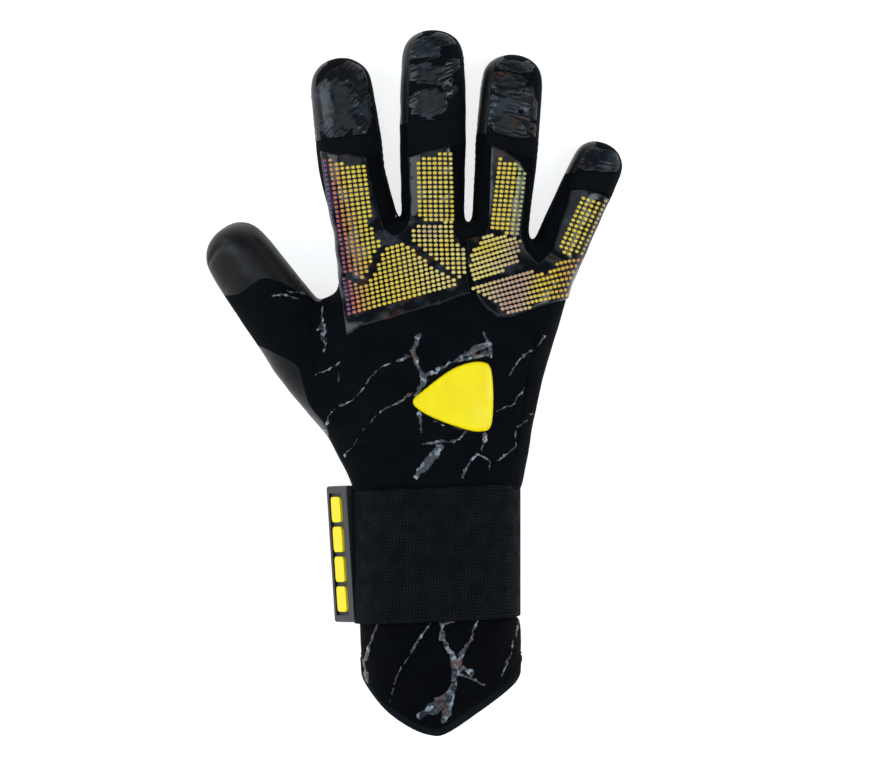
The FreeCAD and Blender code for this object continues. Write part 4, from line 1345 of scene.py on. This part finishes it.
def tint_of(edge, x, y):
    """A dot's colour from where it lies on the hand, by the tints of its field's edge: its own yellow,
    which in most fields shifts to tints that paint an iridescent sheen.
    """
    if edge == "left":
        away = x + 38.9 + (97.0 - y) * -0.124
        deep = 1.0 + 0.03 * min(max(0.0, 92.0 - y), 36.0)
        return blend_tints([(0.6, "purple"), (1.7 * deep, "purple"), (2.6 * deep, "pink"),
                            (4.0 * deep, "orange"), (7.5 * deep, "yellow"), (24.0, "yellow"),
                            (44.0, "pale")], away)
    if edge == "pink":
        return blend_tints([(0.0, "yellow"), (0.55, "pale"), (1.0, "lilac")], random_share(x, y, 7.0, 70))
    if edge == "right":
        return blend_tints([(26.0, "pale"), (38.0, "lilac"), (46.0, "lilac"), (53.0, "yellow"),
                            (62.0, "gold"), (67.0, "orange"), (70.5, "red")], x - 0.18 * (y - 44.0))
    if edge == "teal":
        return blend_tints([(34.0, "yellow"), (42.0, "yellow"), (45.0, "teal")], x + (90.0 - y) * 0.07)
    if edge == "cool":
        return blend_tints([(64.0, "pale"), (70.0, "yellow"), (78.5, "yellow"), (84.5, "purple")],
                           x + (80.0 - y) * 0.42)
    return blend_tints([(0.0, "yellow"), (0.6, "yellow"), (1.0, "pale")], random_share(x, y, 9.0, 71))


def lattice_points(field):
    """The places of a field's dots, in slightly tilted rows."""
    outline = np.array(field["outline"])
    low, high = outline.min(axis=0) - 3.0, outline.max(axis=0) + 3.0
    step_x, step_y = (DOT_PITCH[k] * field["pitch"][k] for k in (0, 1))
    lean = math.radians(field["lean"])
    down = np.array([math.sin(lean), -math.cos(lean)])
    found = []
    for row in range(-40, 41):
        start = np.array(field["origin"]) + down * row * step_y
        share = np.clip((high[1] - start[1]) / (high[1] - low[1]), 0.0, 1.0)
        tilt = math.radians(field["tilt"][0] + share * (field["tilt"][1] - field["tilt"][0]))
        along = np.array([math.cos(tilt), math.sin(tilt)])
        for column in range(-30, 31):
            found.append(start + along * column * step_x)
    found = np.array(found)
    return found[outline_field(outline, found) > 0.15]


def dome(count=10, rings=((1.0, 0.0), (0.92, 0.55), (0.62, 0.9))):
    """A unit dome: rings of points, by radius and height, and a top."""
    verts, faces = [], []
    for radius, height in rings:
        for i in range(count):
            a = 2.0 * math.pi * i / count
            c, s = math.cos(a), math.sin(a)
            verts.append((radius * c, radius * s, height))
    verts.append((0.0, 0.0, 1.0))
    for k in range(len(rings) - 1):
        for i in range(count):
            a, b = k * count + i, k * count + (i + 1) % count
            faces += [(a, b, b + count), (a, b + count, a + count)]
    last = (len(rings) - 1) * count
    faces += [(last + i, last + (i + 1) % count, len(verts) - 1) for i in range(count)]
    return np.array(verts), np.array(faces)


def zone_at(place):
    """The stretch of the glove that a point of the back belongs to."""
    zone = "hand"
    for name in FINGERS:
        start, middle = split_at(name)
        p = local(name, place[None])[0]
        if abs(p[0]) < DIGITS[name]["reach_across"] and p[1] > start:
            zone = name + (".lower" if p[1] < middle else ".upper")
    return zone


def make_dots():
    """The raised dots on the pads, one mesh for each stretch of the glove."""
    rows, triangles = skin
    tree = BVHTree.FromPolygons([tuple(p) for p in rows[:, POINT]], [tuple(t) for t in triangles])
    shape, shape_faces = dome()
    groups = {}
    for field in DOT_FIELDS.values():
        for x, y in lattice_points(field):
            hit, _, face, _ = tree.ray_cast(Vector((x, y, 80.0)), Vector((0, 0, -1)))
            if hit is None or hit.z < PAD_LOW + 0.5:
                continue
            smooth = unit(rows[triangles[face], NORMAL].mean(axis=0))
            if smooth[2] < STEEPEST_DOT:
                continue
            lean = math.radians(field["lean"])
            across = unit(np.cross([math.sin(lean), -math.cos(lean), 0.0], smooth))
            down = np.cross(smooth, across)
            centre = np.array(hit) + smooth * (PAD_HEIGHT - 0.1)
            size = 1.0 + 0.06 * float(noise(np.array([[x, y, 0.0]]), 1.1, 80)[0])
            points = (centre + np.outer(shape[:, 0] * DOT_SIZE[0] * size, across)
                      + np.outer(shape[:, 1] * DOT_SIZE[1] * size, down)
                      + np.outer(shape[:, 2] * DOT_SIZE[2], smooth))
            groups.setdefault(zone_at(np.array(hit)), []).append((points, tint_of(field["edge"], x, y)))
    for zone, dots in groups.items():
        points = np.vstack([p for p, _ in dots])
        faces = np.vstack([shape_faces + i * len(shape) for i in range(len(dots))])
        tints = np.vstack([np.repeat(t[None], len(shape), axis=0) for _, t in dots])
        sheet = new_sheet(points, faces)
        obj = mesh_object("dots_" + zone.replace(".", "_"), *sheet, "dot", custom=False, tints=tints)
        carry(obj, zone)


# ---------------------------------------------------------------- wrist
def stadium_point(section, share, grow=0.0):
    """A point of a wrist section's outline and its normal, at a share of the way round.

    Share 0 is the little-finger side, 0.25 the back.
    """
    left, right, low, top = section
    radius = 0.5 * (top - low) + grow
    run = 0.5 * (right - left) + grow - radius
    quarter = 0.5 * math.pi * radius
    total = 4.0 * (run + quarter)
    length = (share % 1.0) * total
    corner = 0.25 * total
    centre = np.array([0.5 * (left + right), 0.5 * (low + top)])
    part = int(length // corner)
    rest = length - part * corner
    if part in (1, 3):
        rest = corner - rest
    if rest < quarter:
        a = rest / radius
        x, z = run + radius * math.cos(a), radius * math.sin(a)
        nx, nz = math.cos(a), math.sin(a)
    else:
        x, z = run - (rest - quarter), radius
        nx, nz = 0.0, 1.0
    if part in (1, 2):
        x, nx = -x, -nx
    if part in (2, 3):
        z, nz = -z, -nz
    return centre + np.array([x, z]), np.array([nx, nz])


def cuff_section(y):
    """The cuff's left, right, low and top."""
    return section_at(np.array(CUFF_SECTIONS), y)


def hem_y(x):
    """Where the cuff's smooth lower edge lies at a distance across the glove."""
    p = np.array(HEM_EDGE)
    made = [curve_between(*p[i - 1:i + 3], 8) for i in range(1, len(p) - 2)]
    edge = np.vstack([p[:1]] + made + [p[-2:]])
    return np.interp(x, edge[:, 0], edge[:, 1])


def grid_sheet(points, cloth=None):
    """A sheet over a grid of points, rows along and columns round, with its cloth coordinates."""
    count_y, count_x = points.shape[:2]
    i, j = np.meshgrid(np.arange(count_y - 1), np.arange(count_x), indexing="ij")
    a = i * count_x + j
    b = i * count_x + (j + 1) % count_x
    c, d = b + count_x, a + count_x
    faces = np.vstack([np.stack([a, b, c], -1).reshape(-1, 3), np.stack([a, c, d], -1).reshape(-1, 3)])
    flat = points.reshape(-1, 3)
    p, q, r = (flat[faces[:, k]] - flat.mean(axis=0) for k in range(3))
    if np.einsum("ij,ij->i", p, np.cross(q, r)).sum() < 0:
        faces = faces[:, ::-1]
    rows, faces = new_sheet(flat, faces)
    if cloth is not None:
        rows[:, REST] = cloth.reshape(-1, 3)
    return rows, faces


def cuff_point(y, share, grow=0.0):
    """A point of the cuff's surface."""
    at, _ = stadium_point(cuff_section(y), share, grow)
    return np.array([at[0], y, at[1]])


def cuff_grid(grow, count, rows, start):
    """Points of the cuff's surface down to the hem."""
    points = np.empty((rows, count, 3))
    for j in range(count):
        share = j / count
        x = cuff_point(HEM_MIDDLE, share)[0]
        end = hem_y(x) + HEM_WIDTH * 0.6
        for i, y in enumerate(np.linspace(start, end, rows)):
            points[i, j] = cuff_point(y, share, grow)
    return points


def make_cuff():
    """The sleeve cuff's outside with its print."""
    rows, triangles = grid_sheet(cuff_grid(0.0, count=260, rows=110, start=CUFF_TOP))
    below = smooth_step(*CUFF_WAVES, rows[:, REST][:, 1])
    soft = 0.45 * noise(rows[:, REST], 13.0, 90) + 0.2 * noise(rows[:, REST], 6.0, 91)
    rows[:, POINT] += rows[:, NORMAL] * (soft * below)[:, None]
    rows[:, REST] = rows[:, POINT]
    rows[:, NORMAL] = normals_of(rows[:, POINT], triangles)
    middle = 0.5 * (WRIST[2] + WRIST[3])
    for label, side in (("cuff_back", 1.0), ("cuff_palm", -1.0)):
        part = cut((rows, triangles), side * (rows[:, REST][:, 2] - middle))
        obj = mesh_object(label + "_jersey", *part, "neoprene")
        carry(obj, "hand", [label])
    veins = vein_sheet(CUFF_VEINS, VEINS_LOW[1], 51, (rows, triangles))
    carry(mesh_object("cuff_print", *veins, "vein"), "hand")


def make_lining():
    """The lining seen through the cuff's opening, closed by a dome inside the hand."""
    inner = cuff_grid(-CUFF_WALL, count=160, rows=60, start=LINING_TOP)
    carry(mesh_object("lining", *grid_sheet(inner), "backing"), "hand")
    rim, middle = inner[0], inner[0].mean(axis=0)
    rings = np.array([middle + (rim - middle) * share for share in (1.0, 0.8, 0.55, 0.3, 0.02)])
    rings[:, :, 1] += np.array([0.0, 5.0, 8.0, 9.5, 10.0])[:, None]
    carry(mesh_object("lining_end", *grid_sheet(rings[::-1]), "backing"), "hand")


def sweep(path, normals, section):
    """A bar along a closed path: section is points (along the normal, across it)."""
    tangent = unit(np.roll(path, -1, axis=0) - np.roll(path, 1, axis=0))
    side = unit(np.cross(tangent, normals))
    grid = np.stack([path + normals * a + side * b for a, b in section], axis=1)
    return grid_sheet(np.concatenate([grid, grid[:1]]))


def make_hem():
    """The bound edge of the cuff: a soft tape folded over the hem."""
    count = 400
    path, normals = np.empty((count, 3)), np.empty((count, 3))
    for j in range(count):
        share = j / count
        x = cuff_point(HEM_MIDDLE, share)[0]
        y = hem_y(x) + 0.5 * HEM_WIDTH
        at, out = stadium_point(cuff_section(y), share, -0.5 * CUFF_WALL)
        path[j] = (at[0], y, at[1])
        normals[j] = (out[0], 0.0, out[1])
    angles = np.linspace(0.0, 2.0 * math.pi, 18, endpoint=False)
    round_off = [np.sign(f(angles)) * np.abs(f(angles)) ** 0.7 for f in (np.cos, np.sin)]
    section = list(zip((0.5 * CUFF_WALL + 0.4) * round_off[0], 0.5 * HEM_WIDTH * round_off[1]))
    sheet = sweep(path, normals, section)
    obj = mesh_object("hem_tape", *sheet, "binding", custom=False)
    carry(obj, "hand", ["hem_binding"])
    above = path + normals * 0.5 * CUFF_WALL
    above[:, 1] += 0.75 * HEM_WIDTH
    sewn = stitches(above, normals, length=2.0, thick=0.2)
    carry(mesh_object("hem_stitches", *sewn, "thread", custom=False), "hand")


def band_path(inner, start_z, end_angle, steps=160):
    """The strap's line round the wrist, from the little-finger side over the back to the tab.

    Also gives the length along it.
    """
    left, right, low, top = WRIST
    radius = 0.5 * (top - low) + inner
    centre_r = np.array([right - 0.5 * (top - low), 0.5 * (low + top)])
    centre_l = np.array([left + 0.5 * (top - low), 0.5 * (low + top)])

    def arc(centre, start, end):
        return [centre + radius * np.array([math.cos(a), math.sin(a)]) for a in np.linspace(start, end, 40)]

    points = arc(centre_r, math.asin((start_z - centre_r[1]) / radius), 0.5 * math.pi)
    flat = np.linspace(centre_r[0], centre_l[0], 22)[1:-1]
    points += [np.array([x, centre_l[1] + radius]) for x in flat]
    points = np.array(points + arc(centre_l, 0.5 * math.pi, math.radians(180.0 - end_angle)))
    length = np.concatenate([[0.0], np.cumsum(np.linalg.norm(np.diff(points, axis=0), axis=1))])
    at = np.linspace(0.0, length[-1], steps)
    return np.stack([np.interp(at, length, points[:, k]) for k in (0, 1)], axis=1), at


def strap_shift(x):
    """How far the strap's slant moves it along the glove, at a distance across."""
    return STRAP_SLANT * (x - STRAP_CENTRE)


def band_profile(low, top, half, rows):
    """A flat band's section, as points (along the glove, off its middle), with rounded edges."""
    across = np.linspace(0.0, math.pi, BAND_EDGE + 2)[1:-1]
    ys = np.linspace(low + half, top - half, rows)
    upper = [(y, half) for y in ys]
    upper += [(ys[-1] + half * math.sin(a), half * math.cos(a)) for a in across]
    under = [(y, -half) for y in ys[::-1]]
    under += [(ys[0] - half * math.sin(a), -half * math.cos(a)) for a in across]
    return upper + under


def band_sheet(inner, outer, start_z, end_angle, y_low, y_top):
    """A flat band with rounded edges; its cloth coordinates are the length round and along."""
    steps, rows = 180, 72
    middle, at = band_path(0.5 * (inner + outer), start_z, end_angle, steps)
    tangent = directions(middle)
    out = np.stack([tangent[:, 1], -tangent[:, 0]], axis=1)
    profile = band_profile(y_low, y_top, 0.5 * (outer - inner), rows)
    grid = np.empty((steps, len(profile), 3))
    cloth = np.empty_like(grid)
    for k, (y, h) in enumerate(profile):
        point = middle + out * h
        grid[:, k] = np.stack([point[:, 0], y + strap_shift(middle[:, 0]), point[:, 1]], axis=1)
        cloth[:, k] = np.stack([at, np.full(steps, y), np.full(steps, h)], axis=1)
    made, triangles = grid_sheet(grid, cloth)
    ends = []
    for first, step in ((0, 1), ((steps - 1) * len(profile), -1)):
        for i in range(rows - 1):
            under = first + rows + BAND_EDGE + rows - 2 - i
            a, b, c, d = first + i, first + i + 1, under, under + 1
            ends += [(a, b, c)[::step], (a, c, d)[::step]]
    return made, np.vstack([triangles, np.array(ends)])


def stitches(points, normals, length=1.7, gap=0.8, thick=0.22):
    """Thread stitches along a line of points: short rounded bars half sunk in the cloth."""
    along = np.concatenate([[0.0], np.cumsum(np.linalg.norm(np.diff(points, axis=0), axis=1))])
    swell = thick * np.array([0.35, 0.9, 1.0, 1.0, 0.9, 0.35])[:, None]
    grids = []
    for start in np.arange(0.5 * gap, along[-1] - length, length + gap):
        t = np.linspace(start, start + length, 6)
        centre = np.stack([np.interp(t, along, points[:, k]) for k in range(3)], axis=1)
        out = np.stack([np.interp(t, along, normals[:, k]) for k in range(3)], axis=1)
        side = np.cross(unit(centre[-1] - centre[0]), out)
        grid = np.stack([centre + swell * (out * (0.35 + math.cos(a)) + side * math.sin(a))
                         for a in np.linspace(0.0, 2.0 * math.pi, 6, endpoint=False)], axis=1)
        grids.append(grid_sheet(grid))
    return joined(grids) if grids else None


def joined(sheets):
    """Several sheets as one."""
    counts = np.cumsum([0] + [len(rows) for rows, _ in sheets])
    rows = np.vstack([rows for rows, _ in sheets])
    return rows, np.vstack([triangles + n for (_, triangles), n in zip(sheets, counts)])


def make_strap():
    """The strap's free elastic band, beside its sewn line."""
    band = band_sheet(STRAP_INNER, STRAP_OUTER, STRAP_START, TAB_ROOT_ANGLE, STRAP_LOW, STRAP_TOP)
    obj = mesh_object("strap_elastic", *band, "elastic", custom=False)
    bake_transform(obj)
    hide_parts("strap_band")


def make_strap_stitches():
    """Stitching along the strap's edges, and two lines across it over the back."""
    middle, _ = band_path(STRAP_OUTER, STITCH_START, TAB_ROOT_ANGLE + STITCH_END)
    tangent = directions(middle)
    out = np.stack([tangent[:, 1], np.zeros(len(middle)), -tangent[:, 0]], axis=1)
    shift = strap_shift(middle[:, 0])
    made = []
    for y in (STRAP_TOP - STITCH_INSET, STRAP_LOW + STITCH_INSET):
        made.append(stitches(np.stack([middle[:, 0], y + shift, middle[:, 1]], axis=1), out))
    near = int(np.argmin(np.abs(middle[:, 0] - STITCH_LINE)))
    ys = np.linspace(STRAP_LOW + CROSS_INSET, STRAP_TOP - CROSS_INSET, 40)
    for side in (-STITCH_GAP, STITCH_GAP):
        x, z = middle[near] + side * tangent[near]
        line = np.stack([np.full(40, x), ys + shift[near], np.full(40, z)], axis=1)
        made.append(stitches(line, np.tile(out[near], (40, 1))))
    obj = mesh_object("strap_stitches", *joined(made), "thread", custom=False)
    carry(obj, "strap")


def make_piles():
    """Hook pile under the strap's free end, and loop pile on the cuff below it."""
    for label, layer, body in (("hook", HOOK_LAYER, "strap"), ("loop", LOOP_LAYER, "hand")):
        rows, triangles = band_sheet(*layer, PILE_START, PILE_END,
                                     STRAP_LOW + PILE_INSET, STRAP_TOP - PILE_INSET)
        pile = cut((rows, triangles), PILE_EDGE - rows[:, 0])
        obj = mesh_object(label + "_pile", *pile, label, custom=False)
        carry(obj, body, [label + "_patch"])


def make_anchor():
    """The strap's sewn part: under the wrist and up the little-finger side, in the CAD's layer."""
    shares = np.linspace(*SEWN_SHARES, 260)
    profile = band_profile(STRAP_LOW, STRAP_TOP, SEWN_HALF, 60)
    grid = np.empty((len(shares), len(profile), 3))
    cloth = np.empty_like(grid)
    for i, share in enumerate(shares):
        at, out = stadium_point(WRIST, share, SEWN_HALF)
        for k, (y, h) in enumerate(profile):
            point = at + out * h
            grid[i, k] = (point[0], y + strap_shift(at[0]), point[1])
            cloth[i, k] = (share * 190.0, y, h)
    sheet = grid_sheet(grid[::-1], cloth[::-1])
    obj = mesh_object("strap_sewn", *sheet, "elastic", custom=False)
    carry(obj, "hand", ["strap_anchor"])


def make_tab_neck():
    """The elastic tongue inside the tab's root, which bends where the tab turns."""
    radius = 0.5 * (WRIST[3] - WRIST[2])
    centre = np.array([WRIST[0] + radius, 0.5 * (WRIST[2] + WRIST[3])])
    middle = radius + 0.5 * (STRAP_INNER + STRAP_OUTER)
    root, slope = math.radians(TAB_ROOT_ANGLE), math.radians(TAB_SLOPE)
    above = [centre + middle * np.array([-math.cos(a), math.sin(a)])
             for a in np.linspace(root + NECK_REACH / middle, root + NECK_GAP / middle, 12)]
    down = np.array([-math.cos(slope), -math.sin(slope)])
    below = [above[-1] + down * (NECK_GAP + s) for s in np.linspace(NECK_GAP, NECK_REACH, 12)]
    path = np.array(above + below)
    tangent = directions(path)
    out = np.stack([-tangent[:, 1], tangent[:, 0]], axis=1)
    out *= np.sign(np.einsum("ij,ij->i", out, path - centre))[:, None]
    middle_y = 0.5 * (STRAP_LOW + STRAP_TOP)
    half_length = 0.5 * (STRAP_TOP - STRAP_LOW) - NECK_INSET
    ys = np.linspace(-half_length, half_length, 30)
    profile = [(y, 0.5 * NECK_THICK) for y in ys] + [(y, -0.5 * NECK_THICK) for y in ys[::-1]]
    grid = np.empty((len(path), len(profile), 3))
    cloth = np.empty_like(grid)
    for i, (x, z) in enumerate(path):
        slant = math.tan(math.radians(TAB_SLANT)) * smooth_step(10.0, 14.0, float(i))
        for k, (y, h) in enumerate(profile):
            grid[i, k] = (x + out[i, 0] * h - slant * y, middle_y + y, z + out[i, 1] * h)
            cloth[i, k] = (0.4 * i, y, h)
    obj = mesh_object("tab_neck", *grid_sheet(grid, cloth), "elastic", custom=False)
    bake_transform(obj)


def finish_tab():
    """The moulded tab and its blocks keep their CAD shape and get their own rubber."""
    for node, material in (("pull_tab", "tab_rubber"), ("tab_blocks", "tab_yellow")):
        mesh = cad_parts[node].data
        mesh.materials.clear()
        mesh.materials.append(MATERIALS[material])


# ---------------------------------------------------------------- stage
def make_stage():
    """A wide white floor that glows a little, so that it stays white round the glove."""
    mesh = bpy.data.meshes.new("floor")
    reach = FLOOR_REACH
    corners = [(-reach, -reach, 0), (reach, -reach, 0), (reach, reach, 0), (-reach, reach, 0)]
    mesh.from_pydata(corners, [], [(0, 1, 2, 3)])
    floor = bpy.data.objects.new("floor", mesh)
    floor.location.z = -0.0004
    bpy.context.collection.objects.link(floor)
    material = bpy.data.materials.new("floor_white")
    material.use_nodes = True
    surface = material.node_tree.nodes["Principled BSDF"]
    surface.inputs["Base Color"].default_value = (0.55, 0.55, 0.55, 1)
    surface.inputs["Roughness"].default_value = 0.9
    surface.inputs["Specular IOR Level"].default_value = 0.1
    surface.inputs["Emission Color"].default_value = (1, 1, 1, 1)
    surface.inputs["Emission Strength"].default_value = 0.76
    mesh.materials.append(material)


def area_light(name, place, size, power, colour):
    """A softbox that faces the glove."""
    light = bpy.data.lights.new(name, "AREA")
    light.shape = "RECTANGLE"
    light.size, light.size_y = size
    light.energy = power
    light.color = colour
    obj = bpy.data.objects.new(name, light)
    obj.location = place
    obj.rotation_euler = (-Vector(place)).to_track_quat("-Z", "Y").to_euler()
    bpy.context.collection.objects.link(obj)


def make_lights():
    """A wide dim softbox overhead, brighter ones at the sides that draw the gloss, and the sky."""
    for name, setting in SOFTBOXES.items():
        area_light(name, *setting)
    sky = bpy.data.worlds.new("studio")
    bpy.context.scene.world = sky
    sky.use_nodes = True
    tree = sky.node_tree
    place = tree.nodes.new("ShaderNodeTexCoord")
    split = tree.nodes.new("ShaderNodeSeparateXYZ")
    ramp = tree.nodes.new("ShaderNodeValToRGB")
    tree.links.new(place.outputs["Generated"], split.inputs[0])
    tree.links.new(split.outputs["Z"], ramp.inputs["Fac"])
    ramp.color_ramp.elements[0].color = (0.95, 0.96, 0.98, 1)
    ramp.color_ramp.elements[0].position = 0.12
    ramp.color_ramp.elements[1].color = (0.07, 0.08, 0.09, 1)
    ramp.color_ramp.elements[1].position = 0.5
    tree.links.new(ramp.outputs["Color"], tree.nodes["Background"].inputs["Color"])
    tree.nodes["Background"].inputs["Strength"].default_value = 1.0


def make_camera():
    """Straight above the glove, as far as a 200 mm lens needs."""
    camera = bpy.data.cameras.new("camera")
    camera.lens = 200.0
    camera.sensor_width = 36.0
    obj = bpy.data.objects.new("camera", camera)
    obj.location = CAMERA_PLACE
    bpy.context.collection.objects.link(obj)
    bpy.context.scene.camera = obj
    bpy.context.scene.view_settings.view_transform = "Standard"


skin = make_skin()
base_pieces()
make_pads()
add_patches("print", vein_sheet(VEINS, VEINS_LOW[0], 50), "vein")
make_caps()
make_flex_bands()
make_badge()
make_dots()
make_cuff()
make_lining()
make_hem()
make_palm_seams()
make_strap()
make_strap_stitches()
make_piles()
make_anchor()
make_tab_neck()
finish_tab()
make_stage()
make_lights()
make_camera()
